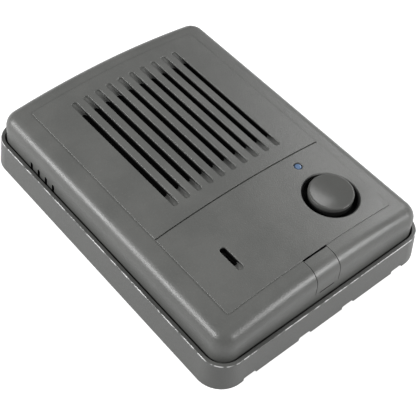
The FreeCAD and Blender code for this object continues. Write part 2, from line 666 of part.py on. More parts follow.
def cover_bores():
    """Every hole in the front cover apart from the grille."""
    tools = [cylinder(BUTTON_X, BUTTON_Y, WELL_FLOOR_Z, WELL_R, FACE_HEIGHT),
             cylinder(BUTTON_X, BUTTON_Y, GUIDE_END_Z - CUT, STEM_R + STEM_GAP, FACE_HEIGHT),
             cylinder(LED_X, LED_Y, BOARD_FRONT_Z, LED_HOLE_R, FACE_HEIGHT),
             microphone_slot(), panel_groove(), hinge_groove(), pocket_hollow(), flap_seat()]
    board_bore = BOARD_SCREW_LENGTH + BORE_SPARE
    for x, y in board_posts():
        tools.append(cylinder(x, y, BOARD_BACK_Z, BOARD_SCREW_R + SCREW_FIT, board_bore))
    clip_bore = CLIP_SCREW_LENGTH + BORE_SPARE
    for x, y in clip_posts():
        tools.append(cylinder(x, y, FLANGE_BACK_Z - CLIP_THICKNESS, CLIP_SCREW_R + SCREW_FIT, clip_bore))
    return tools


def lug_windows():
    tools = []
    y0 = BODY_HEIGHT / 2 - COVER_INSET - 2 * COVER_WALL
    for side in (-1, 1):
        half = LUG_WIDTH / 2 + LUG_GAP
        z_half = LUG_HEIGHT / 2 + LUG_GAP
        tools.append(block(side * LUG_X - half, side * LUG_X + half, y0, BODY_HEIGHT / 2,
                           LUG_Z - z_half, LUG_Z + z_half))
    return tools


def middle_of(edge):
    return edge.valueAt((edge.FirstParameter + edge.LastParameter) / 2)


def in_face(edge):
    """True for an edge that lies in the panel's crowned surface."""
    points = [edge.valueAt(edge.FirstParameter), middle_of(edge), edge.valueAt(edge.LastParameter)]
    return all(abs(point.z - face_z(point.x)) < EDGE_MATCH for point in points)


def round_well(edge):
    middle = middle_of(edge)
    return math.hypot(middle.x - BUTTON_X, middle.y - BUTTON_Y) < WELL_R + CUT


def round_panel(edge):
    middle = middle_of(edge)
    return abs(middle.x) > PANEL_WIDTH / 2 - CUT or abs(middle.y) > PANEL_HEIGHT / 2 - CUT


def round_opening(edge):
    apart = abs(middle_of(edge).y - GROOVE_Y) > GROOVE_WIDTH
    return apart and not round_well(edge) and not round_panel(edge)


def ease_face(shape):
    """Rounds the upper edges of the panel and of the openings in it."""
    for chosen, radius in ((round_well, WELL_EDGE_R), (round_opening, OPENING_EDGE_R), (round_panel, PANEL_EDGE_R)):
        shape = shape.makeFillet(radius, [edge for edge in shape.Edges if in_face(edge) and chosen(edge)])
    return shape


def front_cover():
    outer = crowned_block(0, PANEL_STEP, FLOOR_TOP, EDGE_R)
    middle = crowned_block(COVER_WALL / 2, FACE_THICKNESS / 2, FLOOR_TOP, EDGE_R - COVER_WALL / 2)
    ribs = [shape.common(middle) for shape in cover_ribs()]
    shape = outer.cut(cover_cavity()).fuse([panel()] + ribs)
    shape = shape.cut(cover_bores() + grille_slots() + vent_notches() + lug_windows()).removeSplitter()
    return ease_face(shape)


def screw_cup():
    """Cup behind the flap that holds the cover screw's head, open towards the cover's wall."""
    half = POCKET_WIDTH / 2 + POCKET_WALL
    cup = block(-half, half, -BODY_HEIGHT / 2, POCKET_TOP_Y + POCKET_WALL,
                POCKET_FLOOR_Z - POCKET_FLOOR_THICKNESS, FACE_HEIGHT)
    return cup.common(cover_cavity()).cut([pocket_hollow(), cover_screw_hole()]).removeSplitter()


def screw_flap():
    outer = crowned_block(0, PANEL_STEP, FLOOR_TOP, EDGE_R)
    inner = crowned_block(FLAP_THICKNESS, PANEL_STEP + FLAP_THICKNESS, FLOOR_TOP, EDGE_R - FLAP_THICKNESS)
    skin = outer.cut(inner).common(flap_space(0, FLAP_TOP_GAP, FLAP_SEAM))
    return skin.cut(hinge_groove())


def slotted_screw(x, y, z, radius, length, head_r, head_height, direction):
    """Pan-head screw whose head rests at z. direction is 1 when the head looks up."""
    shank = Part.makeCylinder(radius, length, Vector(x, y, z), Vector(0, 0, -direction))
    head = Part.makeCylinder(head_r, head_height, Vector(x, y, z), Vector(0, 0, direction))
    crown_edge = max(head.Edges, key=lambda edge: edge.CenterOfMass.z * direction if edge.Closed else -1000)
    head = head.makeFillet(head_height * SCREW_DOME, [crown_edge])
    top = z + direction * head_height
    slot_z = min(top, top - direction * SCREW_SLOT_DEPTH)
    slot_length = SCREW_SLOT_REACH * head_r
    slots = [block_at(x, y, slot_z, slot_length, SCREW_SLOT_WIDTH, SCREW_SLOT_DEPTH),
             block_at(x, y, slot_z, SCREW_SLOT_WIDTH, slot_length, SCREW_SLOT_DEPTH)]
    return shank.fuse(head).cut(slots).removeSplitter()


def cover_screw():
    return slotted_screw(0, COVER_SCREW_Y, POCKET_FLOOR_Z, COVER_SCREW_R, COVER_SCREW_LENGTH,
                         COVER_SCREW_HEAD_R, COVER_SCREW_HEAD_HEIGHT, 1)


def call_button():
    """Dished cap on a hollow stem, with a socket for the switch's plunger."""
    top = BUTTON_TOP_Z
    under = BUTTON_UNDERSIDE_Z
    dish_r = BUTTON_R - BUTTON_RIM
    sphere = (dish_r ** 2 + BUTTON_DISH ** 2) / (2 * BUTTON_DISH)
    mid_z = top - BUTTON_DISH + sphere - math.sqrt(sphere ** 2 - (dish_r / 2) ** 2)
    bend = BUTTON_EDGE_R * (1 - math.sqrt(0.5))
    dish = Part.Arc(Vector(0, 0, top - BUTTON_DISH), Vector(dish_r / 2, 0, mid_z), Vector(dish_r, 0, top))
    edge = Part.Arc(Vector(BUTTON_R - BUTTON_EDGE_R, 0, top), Vector(BUTTON_R - bend, 0, top - bend),
                    Vector(BUTTON_R, 0, top - BUTTON_EDGE_R))
    flat = Part.makeLine(Vector(dish_r, 0, top), Vector(BUTTON_R - BUTTON_EDGE_R, 0, top))
    inner_r = STEM_R - STEM_WALL
    socket_r = PLUNGER_R + SOCKET_WALL
    socket_end = BOARD_FRONT_Z + SWITCH_HEIGHT + BUTTON_TRAVEL + SOCKET_CLEARANCE
    points = [(BUTTON_R, top - BUTTON_EDGE_R), (BUTTON_R, under), (STEM_R, under), (STEM_R, STEM_END_Z),
              (inner_r, STEM_END_Z), (inner_r, under), (socket_r, under), (socket_r, socket_end),
              (PLUNGER_R, socket_end), (PLUNGER_R, under), (0, under), (0, top - BUTTON_DISH)]
    rest = Part.makePolygon([Vector(radius, 0, z) for radius, z in points])
    outline = Part.Wire([dish.toShape(), flat, edge.toShape()] + rest.Edges)
    shape = Part.Face(outline).revolve(Vector(0, 0, 0), UP, 360)
    shape.translate(Vector(BUTTON_X, BUTTON_Y, 0))
    return shape.cut(ring(BUTTON_X, BUTTON_Y, RETAINER_Z, STEM_R + CUT, STEM_R - RETAINER_BITE, RETAINER_THICKNESS))


def button_retainer():
    """Open spring clip in the stem's groove."""
    inner_r = STEM_R - RETAINER_BITE
    outer_r = inner_r + RETAINER_WIDTH
    clip = ring(BUTTON_X, BUTTON_Y, RETAINER_Z, outer_r, inner_r, RETAINER_THICKNESS)
    return clip.cut(block_at(BUTTON_X, BUTTON_Y - outer_r, RETAINER_Z, RETAINER_OPENING, outer_r, RETAINER_THICKNESS))


def button_seal():
    """Flat rubber ring on the moat's floor, round the stem."""
    return ring(BUTTON_X, BUTTON_Y, WELL_FLOOR_Z, WELL_R - SEAL_MARGIN, STEM_R + STEM_GAP, SEAL_THICKNESS)


def button_spring():
    """Return spring between the board and the cap, round the switch."""
    bottom = BOARD_FRONT_Z + SPRING_WIRE_R
    height = BUTTON_UNDERSIDE_Z - SPRING_WIRE_R - bottom
    helix = Part.makeHelix(height / SPRING_TURNS, height, SPRING_R)
    profile = Part.Wire(Part.makeCircle(SPRING_WIRE_R, Vector(SPRING_R, 0, 0), Vector(0, 1, 0)))
    coil = Part.Wire(helix).makePipeShell([profile], True, True)
    coil.translate(Vector(BUTTON_X, BUTTON_Y, bottom))
    return coil


def switch_body():
    z = BOARD_FRONT_Z
    body = block_at(BUTTON_X, BUTTON_Y, z, SWITCH_WIDTH, SWITCH_WIDTH, SWITCH_HEIGHT)
    depth = PLUNGER_FOOT + BUTTON_TRAVEL + PLUNGER_GAP
    body = body.cut(cylinder(BUTTON_X, BUTTON_Y, z + SWITCH_HEIGHT - depth, PLUNGER_R + PLUNGER_GAP, depth + CUT))
    return body.fuse([board_pin(x, y, z) for x, y in switch_pins()])


def pin_pair(x, y, offset):
    """Places of two pins, one each side of (x, y)."""
    return [(x - offset, y), (x + offset, y)]


def switch_pins():
    offset = SWITCH_PIN_OFFSET
    return pin_pair(BUTTON_X, BUTTON_Y - offset, offset) + pin_pair(BUTTON_X, BUTTON_Y + offset, offset)


def board_pin(x, y, top):
    """Round pin that goes through the board and is rooted a little way into the part above."""
    bottom = BOARD_BACK_Z - PIN_TAIL
    return cylinder(x, y, bottom, PIN_R, top - bottom + PIN_R)


def switch_plunger():
    bottom = BOARD_FRONT_Z + SWITCH_HEIGHT - PLUNGER_FOOT
    return cylinder(BUTTON_X, BUTTON_Y, bottom, PLUNGER_R, BUTTON_UNDERSIDE_Z - bottom)


def upper_rim(shape):
    """The highest closed edge of a turned shape."""
    return max((edge for edge in shape.Edges if edge.Closed), key=lambda edge: edge.CenterOfMass.z)


def led_lens():
    """Blue lens: a domed pin through the panel with a flange behind it."""
    bottom = BOARD_FRONT_Z + LED_STANDOFF + LED_BODY_LENGTH + LENS_STANDOFF
    pin = cylinder(LED_X, LED_Y, bottom, LED_HOLE_R - LENS_GAP, face_z(LED_X) - LENS_SINK - bottom)
    pin = pin.makeFillet(LENS_EDGE_R, [upper_rim(pin)])
    flange_top = lowest_underside(LED_X, LENS_FLANGE_R) - LENS_SEAT_GAP
    flange = cylinder(LED_X, LED_Y, flange_top - LENS_FLANGE_HEIGHT, LENS_FLANGE_R, LENS_FLANGE_HEIGHT)
    return pin.fuse(flange).removeSplitter()


def led():
    """Round diode on two pins, with its domed end under the lens."""
    z = BOARD_FRONT_Z + LED_STANDOFF
    body = cylinder(LED_X, LED_Y, z, LED_BODY_R, LED_BODY_LENGTH)
    body = body.makeFillet(0.9 * LED_BODY_R, [upper_rim(body)])
    foot = cylinder(LED_X, LED_Y, z, LED_BODY_R + LED_FOOT_WIDTH, LED_FOOT_HEIGHT)
    pins = [board_pin(x, y, z) for x, y in pin_pair(LED_X, LED_Y, LED_PIN_OFFSET)]
    return body.fuse([foot] + pins)


def dust_screen():
    """Thin black cloth glued behind the grille."""
    width = COLLAR_WIDTH - 2 * SCREEN_MARGIN
    height = COLLAR_HEIGHT - 2 * SCREEN_MARGIN
    sheet = rounded_block(width, height, COLLAR_CORNER_R - SCREEN_MARGIN, RIM_HEIGHT, FACE_HEIGHT, GRILLE_X, GRILLE_Y)
    return sheet.common(crown(FACE_THICKNESS)).cut(crown(FACE_THICKNESS + SCREEN_THICKNESS))


def speaker_gasket():
    """Foam between the cover's collar and the round speaker."""
    width = COLLAR_WIDTH + 2 * GASKET_MARGIN
    height = COLLAR_HEIGHT + 2 * GASKET_MARGIN
    pad = rounded_block(width, height, COLLAR_CORNER_R + GASKET_MARGIN, GASKET_Z, COLLAR_END_Z, GRILLE_X, GRILLE_Y)
    return pad.cut(cylinder(GRILLE_X, GRILLE_Y, 0, BASKET_THROAT_R + GASKET_HOLE_GAP, FACE_HEIGHT))


def speaker_surround():
    """Flat ring on the flange and a half roll that carries the cone."""
    z = SPEAKER_FLANGE_Z
    thick = SURROUND_THICKNESS
    outer_r = SPEAKER_R - thick
    cone_r = CONE_MOUTH_R - CONE_LIP
    roll_out = CONE_MOUTH_R + 2 * SURROUND_ROLL_R
    roll_mid = CONE_MOUTH_R + SURROUND_ROLL_R
    profile = [Vector(outer_r, 0, z), Vector(outer_r, 0, z + thick), Vector(roll_out, 0, z + thick)]
    roll = Part.Arc(profile[-1], Vector(roll_mid, 0, z + thick + SURROUND_RISE), Vector(CONE_MOUTH_R, 0, z + thick))
    inner = [Vector(CONE_MOUTH_R, 0, z + thick), Vector(cone_r, 0, z + thick), Vector(cone_r, 0, z),
             Vector(CONE_MOUTH_R + thick, 0, z)]
    under = Part.Arc(inner[-1], Vector(roll_mid, 0, z + SURROUND_RISE), Vector(roll_out - thick, 0, z))
    last = Part.makeLine(Vector(roll_out - thick, 0, z), profile[0])
    edges = Part.makePolygon(profile).Edges + [roll.toShape()] + Part.makePolygon(inner).Edges
    surround = Part.Face(Part.Wire(edges + [under.toShape(), last])).revolve(Vector(0, 0, 0), UP, 360)
    surround.translate(Vector(GRILLE_X, GRILLE_Y, 0))
    return surround


def speaker_cone():
    """Paper cone from the roll down to the coil, with a flat lip under the roll's inner edge."""
    lip_r = CONE_MOUTH_R - CONE_LIP
    mouth_z = SPEAKER_FLANGE_Z
    throat_r = COIL_R + COIL_FIT
    profile = [(CONE_MOUTH_R, mouth_z), (lip_r, mouth_z), (throat_r, CONE_THROAT_Z + CONE_THICKNESS),
               (throat_r, CONE_THROAT_Z), (lip_r, mouth_z - CONE_THICKNESS), (CONE_MOUTH_R, mouth_z - CONE_THICKNESS)]
    return revolved(profile, GRILLE_X, GRILLE_Y)


def speaker_dust_cap():
    """Low dome that closes the coil's end."""
    sphere_r = (COIL_R ** 2 + DUST_CAP_HEIGHT ** 2) / (2 * DUST_CAP_HEIGHT)
    centre = Vector(GRILLE_X, GRILLE_Y, COIL_TOP_Z + DUST_CAP_HEIGHT - sphere_r)
    ball = Part.makeSphere(sphere_r, centre)
    return ball.common(cylinder(GRILLE_X, GRILLE_Y, COIL_TOP_Z, COIL_R + CUT, DUST_CAP_HEIGHT + CUT))


def voice_coil():
    return ring(GRILLE_X, GRILLE_Y, COIL_TOP_Z - COIL_LENGTH, COIL_R, COIL_R - COIL_WALL, COIL_LENGTH)


def speaker_spider():
    """Ribbed disc that centres the coil."""
    z = BASKET_BACK_Z + SPEAKER_SHEET
    outer_r = BASKET_BACK_R - SPIDER_RIM
    inner_r = COIL_R + COIL_FIT
    step = (outer_r - SPIDER_RIM - inner_r) / SPIDER_RIBS
    upper = []
    for index in range(SPIDER_RIBS + 1):
        height = z + SPIDER_THICKNESS + (index % 2 + 0.5) * SPIDER_RISE
        upper.append((inner_r + step * index, height))
    lower = [(radius, height - SPIDER_THICKNESS) for radius, height in reversed(upper[:-1])]
    rim = [(outer_r, z + SPIDER_THICKNESS), (outer_r, z), (outer_r - SPIDER_RIM, z)]
    return revolved(upper + rim + lower, GRILLE_X, GRILLE_Y)


def speaker_frame():
    """Pressed steel basket with a flange, sloping arms and a flat back."""
    z = SPEAKER_FLANGE_Z
    back = BASKET_BACK_Z
    sheet = SPEAKER_SHEET
    hole_r = MAGNET_HOLE_R + sheet
    profile = [(SPEAKER_R, z), (BASKET_THROAT_R, z), (BASKET_BACK_R, back + sheet), (hole_r, back + sheet),
               (hole_r, back), (BASKET_BACK_R + sheet / 2, back), (BASKET_THROAT_R + sheet, z - sheet),
               (SPEAKER_R, z - sheet)]
    basket = revolved(profile, GRILLE_X, GRILLE_Y)
    windows = []
    half = BASKET_WINDOW_WIDTH / 2
    for index in range(BASKET_WINDOWS):
        window = block(BASKET_BACK_R + 2 * sheet, BASKET_THROAT_R - 2 * sheet, -half, half, back, z)
        window.rotate(Vector(0, 0, 0), UP, (index + 0.5) * 360 / BASKET_WINDOWS)
        window.translate(Vector(GRILLE_X, GRILLE_Y, 0))
        windows.append(window)
    return basket.cut(windows)


def speaker_top_plate():
    z = BASKET_BACK_Z - PLATE_THICKNESS
    return ring(GRILLE_X, GRILLE_Y, z, PLATE_R, COIL_R + COIL_CLEARANCE, PLATE_THICKNESS)


def speaker_magnet():
    z = BASKET_BACK_Z - PLATE_THICKNESS - MAGNET_THICKNESS
    return ring(GRILLE_X, GRILLE_Y, z, MAGNET_R, MAGNET_HOLE_R, MAGNET_THICKNESS)


def speaker_back_plate():
    """Steel disc with the pole that the coil moves round."""
    z = BASKET_BACK_Z - 2 * PLATE_THICKNESS - MAGNET_THICKNESS
    pole_r = COIL_R - COIL_WALL - COIL_CLEARANCE
    disc = cylinder(GRILLE_X, GRILLE_Y, z, PLATE_R, PLATE_THICKNESS)
    return disc.fuse(cylinder(GRILLE_X, GRILLE_Y, z, pole_r, BASKET_BACK_Z - z)).removeSplitter()


def speaker_clips():
    """Small plates that reach from each post over the speaker's flange."""
    z = FLANGE_BACK_Z - CLIP_THICKNESS
    plates = []
    for index, (x, y) in enumerate(clip_posts()):
        plate = block(-CLIP_REACH, CLIP_POST_R, -CLIP_WIDTH / 2, CLIP_WIDTH / 2, 0, CLIP_THICKNESS)
        plate = plate.cut(cylinder(0, 0, -CUT, CLIP_SCREW_R + SCREW_FIT, CLIP_THICKNESS + 2 * CUT))
        plate.rotate(Vector(0, 0, 0), UP, index * 360 / CLIP_COUNT)
        plate.translate(Vector(x, y, z))
        plates.append(plate)
    return Part.makeCompound(plates)


def clip_screws():
    z = FLANGE_BACK_Z - CLIP_THICKNESS
    return Part.makeCompound([slotted_screw(x, y, z, CLIP_SCREW_R, CLIP_SCREW_LENGTH, CLIP_SCREW_HEAD_R,
                                            CLIP_SCREW_HEAD_HEIGHT, -1) for x, y in clip_posts()])


def tag_xs():
    return [GRILLE_X + TAG_X + side * TAG_SPACING / 2 for side in (-1, 1)]


def tag_edge_y():
    """Edge of the speaker's flange beside the tags."""
    return GRILLE_Y - math.sqrt(SPEAKER_R ** 2 - TAG_X ** 2)


def speaker_tags():
    """Insulating strip under the flange with two soldering tags."""
    y = tag_edge_y() - TAG_STRIP_DEPTH / 3
    z = FLANGE_BACK_Z - TAG_STRIP_THICKNESS
    middle = GRILLE_X + TAG_X
    half = TAG_STRIP_WIDTH / 2
    strip = block(middle - half, middle + half, y, y + TAG_STRIP_DEPTH, z, FLANGE_BACK_Z)
    tag_z = z + TAG_THICKNESS
    tags = [block(x - TAG_WIDTH / 2, x + TAG_WIDTH / 2, y - TAG_LENGTH, y, tag_z, tag_z + TAG_THICKNESS)
            for x in tag_xs()]
    return strip.fuse(tags)


def speaker_leads():
    """Two short formed wires from the tags down to the board."""
    wires = []
    z = FLANGE_BACK_Z - TAG_STRIP_THICKNESS + TAG_THICKNESS - WIRE_R
    start_y = tag_edge_y() - TAG_STRIP_DEPTH / 3 - WIRE_R
    end_y = BOARD_TOP_EDGE - LEAD_HOLE_INSET
    for x in tag_xs():
        bend = WIRE_BEND_R * (1 - math.sqrt(0.5))
        corner = [Vector(x, end_y + WIRE_BEND_R, z), Vector(x, end_y + bend, z - bend),
                  Vector(x, end_y, z - WIRE_BEND_R)]
        path = Part.Wire([Part.makeLine(Vector(x, start_y, z), corner[0]), Part.Arc(*corner).toShape(),
                          Part.makeLine(corner[2], Vector(x, end_y, BOARD_BACK_Z - PIN_TAIL))])
        profile = Part.Wire(Part.makeCircle(WIRE_R, Vector(x, start_y, z), Vector(0, 1, 0)))
        wires.append(path.makePipeShell([profile], True, False))
    return Part.makeCompound(wires)


def terminal_xs():
    first = -TERMINAL_PITCH * (TERMINAL_POLES - 1) / 2
    return [first + TERMINAL_PITCH * index for index in range(TERMINAL_POLES)]


def board_holes():
    """Holes for every pin, wire and screw that goes through the board."""
    pins = switch_pins() + pin_pair(LED_X, LED_Y, LED_PIN_OFFSET) + pin_pair(MIC_X, MIC_Y, CAPSULE_PIN_OFFSET)
    for x, y in CAPACITOR_SPOTS:
        pins += pin_pair(x, y, CAPACITOR_PIN_OFFSET)
    pins += [(x, TERMINAL_Y) for x in terminal_xs()]
    holes = [cylinder(x, y, 0, PIN_R + PIN_FIT, FACE_HEIGHT) for x, y in pins]
    holes += [cylinder(x, BOARD_TOP_EDGE - LEAD_HOLE_INSET, 0, WIRE_R + WIRE_FIT, FACE_HEIGHT) for x in tag_xs()]
    holes += [cylinder(x, y, 0, BOARD_SCREW_R + BOARD_SCREW_GAP, FACE_HEIGHT) for x, y in board_posts()]
    return holes


def circuit_board():
    height = BOARD_TOP_EDGE - BOARD_BOTTOM_EDGE
    middle = (BOARD_TOP_EDGE + BOARD_BOTTOM_EDGE) / 2
    board = rounded_block(BOARD_WIDTH, height, BOARD_CORNER_R, BOARD_BACK_Z, BOARD_FRONT_Z, 0, middle)
    return board.cut(board_holes())


def board_screws():
    return Part.makeCompound([slotted_screw(x, y, BOARD_BACK_Z, BOARD_SCREW_R, BOARD_SCREW_LENGTH,
                                            BOARD_SCREW_HEAD_R, BOARD_SCREW_HEAD_HEIGHT, -1)
                              for x, y in board_posts()])


def terminal_block():
    """Screw terminals behind the board, mouths towards the cable entry."""
    width = TERMINAL_PITCH * TERMINAL_POLES + 2 * TERMINAL_END_WALL
    z = BOARD_BACK_Z - TERMINAL_HEIGHT
    body = block_at(0, TERMINAL_Y, z, width, TERMINAL_DEPTH, TERMINAL_HEIGHT)
    front_y = TERMINAL_Y + TERMINAL_DEPTH / 2
    sill_z = z + TERMINAL_SILL
    half = TERMINAL_MOUTH / 2
    tools = []
    for x in terminal_xs():
        tools.append(block(x - half, x + half, front_y - TERMINAL_MOUTH_DEPTH, front_y + CUT,
                           sill_z, sill_z + TERMINAL_MOUTH))
        tools.append(cylinder(x, TERMINAL_Y, z, TERMINAL_SCREW_R + TERMINAL_SCREW_GAP, TERMINAL_WELL_DEPTH))
    root = BOARD_BACK_Z - PIN_R
    pins = [cylinder(x, TERMINAL_Y, root, PIN_R, BOARD_FRONT_Z + PIN_TAIL - root) for x in terminal_xs()]
    return body.cut(tools).fuse(pins)


def terminal_screws():
    """Slotted clamping screws in the block's wells."""
    z = BOARD_BACK_Z - TERMINAL_HEIGHT + TERMINAL_SCREW_SINK
    slot_width = TERMINAL_SCREW_R / 3
    screws = []
    for x in terminal_xs():
        screw = cylinder(x, TERMINAL_Y, z, TERMINAL_SCREW_R, TERMINAL_SCREW_HEIGHT)
        slot = block_at(x, TERMINAL_Y, z, 2 * TERMINAL_SCREW_R + CUT, slot_width, TERMINAL_SCREW_HEIGHT / 2)
        screws.append(screw.cut(slot))
    return Part.makeCompound(screws)


def microphone_boot():
    """Rubber cup that seals the capsule to the slot."""
    outer_r = CAPSULE_R + BOOT_WALL
    top = boot_top()
    cup = cylinder(MIC_X, MIC_Y, top - BOOT_HEIGHT, outer_r, BOOT_HEIGHT)
    cup = cup.cut(cylinder(MIC_X, MIC_Y, top - BOOT_HEIGHT, CAPSULE_R, BOOT_HEIGHT - BOOT_ROOF))
    return cup.cut(oblong(MIC_X, MIC_Y, top - 2 * BOOT_ROOF, BOOT_SLOT_LENGTH, BOOT_SLOT_WIDTH, 2 * BOOT_ROOF))


def microphone_capsule():
    top = boot_top() - BOOT_ROOF
    can = cylinder(MIC_X, MIC_Y, top - CAPSULE_HEIGHT, CAPSULE_R, CAPSULE_HEIGHT)
    pins = [board_pin(x, y, top - CAPSULE_HEIGHT) for x, y in pin_pair(MIC_X, MIC_Y, CAPSULE_PIN_OFFSET)]
    return can.fuse(pins)


def capacitors():
    cans = []
    for x, y in CAPACITOR_SPOTS:
        can = cylinder(x, y, BOARD_FRONT_Z, CAPACITOR_R, CAPACITOR_HEIGHT)
        can = can.cut(ring(x, y, BOARD_FRONT_Z + CAPACITOR_GROOVE_Z, CAPACITOR_R + CUT,
                           CAPACITOR_R - CAPACITOR_GROOVE_DEPTH, CAPACITOR_GROOVE_WIDTH))
        pins = pin_pair(x, y, CAPACITOR_PIN_OFFSET)
        cans.append(can.fuse([board_pin(pin_x, pin_y, BOARD_FRONT_Z) for pin_x, pin_y in pins]))
    return Part.makeCompound(cans)


def amplifier_chip():
    """Chip with bent legs along both long sides."""
    width, height, depth = CHIP_SIZE
    x, y = CHIP_SPOT
    z = BOARD_FRONT_Z
    thick = CHIP_LEG_THICKNESS
    bend_y = height / 2 + 2 * thick
    arm_z = z + depth / 2
    profile = [(height / 2 - thick, arm_z), (bend_y, arm_z), (bend_y, z), (bend_y + CHIP_LEG_REACH, z),
               (bend_y + CHIP_LEG_REACH, z + thick), (bend_y + thick, z + thick), (bend_y + thick, arm_z + thick),
               (height / 2 - thick, arm_z + thick)]
    row = width - 2 * CHIP_END_MARGIN
    legs = []
    for index in range(CHIP_LEGS):
        left = x - row / 2 + row * index / (CHIP_LEGS - 1) - CHIP_LEG_WIDTH / 2
        for side in (-1, 1):
            leg = polygon_face([Vector(left, y + side * leg_y, leg_z) for leg_y, leg_z in profile])
            legs.append(leg.extrude(Vector(CHIP_LEG_WIDTH, 0, 0)))
    body = block_at(x, y, z + CHIP_STANDOFF, width, height, depth - CHIP_STANDOFF)
    return body.fuse(legs).removeSplitter()


def resistors():
    width, height, depth = RESISTOR_SIZE
    return Part.makeCompound([block_at(x, y, BOARD_FRONT_Z, width, height, depth) for x, y in RESISTOR_SPOTS])


PIECES = (
    rear_base, front_cover, screw_flap, screw_cup, cover_screw,
    call_button, button_seal, button_retainer, button_spring, switch_body, switch_plunger,
    led_lens, led, dust_screen, speaker_gasket, speaker_surround, speaker_cone, speaker_dust_cap,
    voice_coil, speaker_spider, speaker_frame, speaker_top_plate, speaker_magnet, speaker_back_plate,
    speaker_clips, clip_screws, speaker_tags, speaker_leads,
    circuit_board, board_screws, terminal_block, terminal_screws,
    microphone_boot, microphone_capsule, capacitors, amplifier_chip, resistors)


def main():
    os.makedirs("parts", exist_ok=True)
    for piece in PIECES:
        shape = piece()
        shape.exportStep("parts/" + piece.__name__ + ".step")
        box = shape.BoundBox
        print(f"{piece.__name__:20s} solids {len(shape.Solids)} valid {shape.isValid()} "
              f"z {box.ZMin:.2f} to {box.ZMax:.2f} volume {shape.Volume:.0f}")


main()
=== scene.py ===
"""Gate intercom station: its finishes, small parts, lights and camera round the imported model."""

import math

import bmesh
import bpy
from mathutils import Matrix, Vector


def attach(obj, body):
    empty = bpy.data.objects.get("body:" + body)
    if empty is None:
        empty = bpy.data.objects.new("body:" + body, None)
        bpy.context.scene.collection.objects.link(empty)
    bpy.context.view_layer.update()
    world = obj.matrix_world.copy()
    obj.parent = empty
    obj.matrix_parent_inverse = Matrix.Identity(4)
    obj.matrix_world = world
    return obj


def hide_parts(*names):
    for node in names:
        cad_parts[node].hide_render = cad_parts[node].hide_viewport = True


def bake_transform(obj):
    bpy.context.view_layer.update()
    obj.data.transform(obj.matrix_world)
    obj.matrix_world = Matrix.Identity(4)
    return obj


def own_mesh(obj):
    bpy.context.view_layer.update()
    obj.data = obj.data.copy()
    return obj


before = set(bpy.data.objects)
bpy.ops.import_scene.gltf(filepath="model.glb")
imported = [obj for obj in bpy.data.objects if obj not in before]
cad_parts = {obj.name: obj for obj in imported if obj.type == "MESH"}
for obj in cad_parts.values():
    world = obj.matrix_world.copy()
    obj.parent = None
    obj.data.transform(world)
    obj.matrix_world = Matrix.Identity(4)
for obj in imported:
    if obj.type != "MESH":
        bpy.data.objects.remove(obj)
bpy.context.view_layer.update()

bl_info = {
    "name": "Gate intercom station",
    "version": (1, 0, 0),
    "blender": (4, 5, 0),
    "location": "View3D > Sidebar > Intercom",
    "description": "Adds finishes and small parts to the packed station, and lights it",
    "category": "Object",
}

MM = 0.001

# Places and sizes of the CAD's parts, in millimetres from the middle of the back

CROWN_RADIUS = 281.0
CROWN_TOP = 26.259
RIM_HEIGHT = 11.8
BUTTON = (22.0, -39.2)
STEM_END = 23.05  # inside the button, where its spring presses
WELL_FLOOR = 21.2
WELL_RADIUS = 10.0
HINGE_Y, HINGE_Z = -61.45, 15.76
COVER_SCREW = (0.0, -57.1)
CUP_FLOOR = 12.4
BOARD_BACK = 11.6
BOARD_FRONT = 13.2
SWITCH_TOP = 17.6
SPEAKER = (0.4, 18.45)
CLIP_FACE = 18.51
LEADS = (-12.1, -7.1)
MICROPHONE = (-22.6, -38.95)
TERMINALS = (-7.5, -2.5, 2.5, 7.5)

# Areas where the cover's masks paint shade: a middle, and the reach to each side of it

PANEL = (0.0, 0.0), (36.0, 53.0)  # X, Y
VENTS = (-45.0, 33.0, 10.0), (2.5, 12.0, 5.0)  # X, Y, Z
FLAP_SIDES = (5.2,), (0.16,)  # X, to the left and right
FLAP_TOP = (0.0, -54.08), (5.31, 0.32)  # X, Y
FLAP_FOLD = (0.0, 15.7), (3.31, 0.256)  # X, Z
FLAP_START = -53.5  # Y, below which the sides are cut
FOLD_START = -61.5  # Y, below which the fold shows

# Colours that finishes share

WHITE = (1.0, 1.0, 1.0, 1.0)
DUST = (0.32, 0.31, 0.29, 1.0)
# Near black, painted as shade in recesses, cuts and gaps
SHADE_BLACK = (0.004, 0.004, 0.004, 1.0)
# Pale grey of the highlight painted along the tray's rim
PAINTED_HIGHLIGHT = (0.6, 0.6, 0.6, 1.0)
DULL_TIN = (0.5, 0.5, 0.48, 1.0)
BRIGHT_TIN = (0.75, 0.75, 0.72, 1.0)


# Settings that a user would change

COLOUR = {"subtype": "COLOR", "size": 4, "min": 0.0, "max": 1.0}


class IntercomFinish(bpy.types.PropertyGroup):
    cover_colour: bpy.props.FloatVectorProperty(
        name="Cover colour", description="Colour of the moulded cover and flap",
        default=(0.11, 0.112, 0.107, 1.0), **COLOUR)
    tray_colour: bpy.props.FloatVectorProperty(
        name="Tray colour", description="Colour of the tray on the wall",
        default=(0.094, 0.096, 0.092, 1.0), **COLOUR)
    button_colour: bpy.props.FloatVectorProperty(
        name="Button colour", description="Colour of the polished call button",
        default=(0.088, 0.089, 0.085, 1.0), **COLOUR)
    lens_colour: bpy.props.FloatVectorProperty(
        name="Lens colour", description="Tint of the indicator's lens",
        default=(0.12, 0.19, 0.32, 1.0), **COLOUR)
    grain_size: bpy.props.FloatProperty(
        name="Grain size", description="Size of the grain on the moulded parts",
        default=0.45 * MM, min=0.05 * MM, unit="LENGTH")
    edge_radius: bpy.props.FloatProperty(
        name="Edge softness", description="Radius over which edges catch the light",
        default=0.25 * MM, min=0.0, unit="LENGTH")


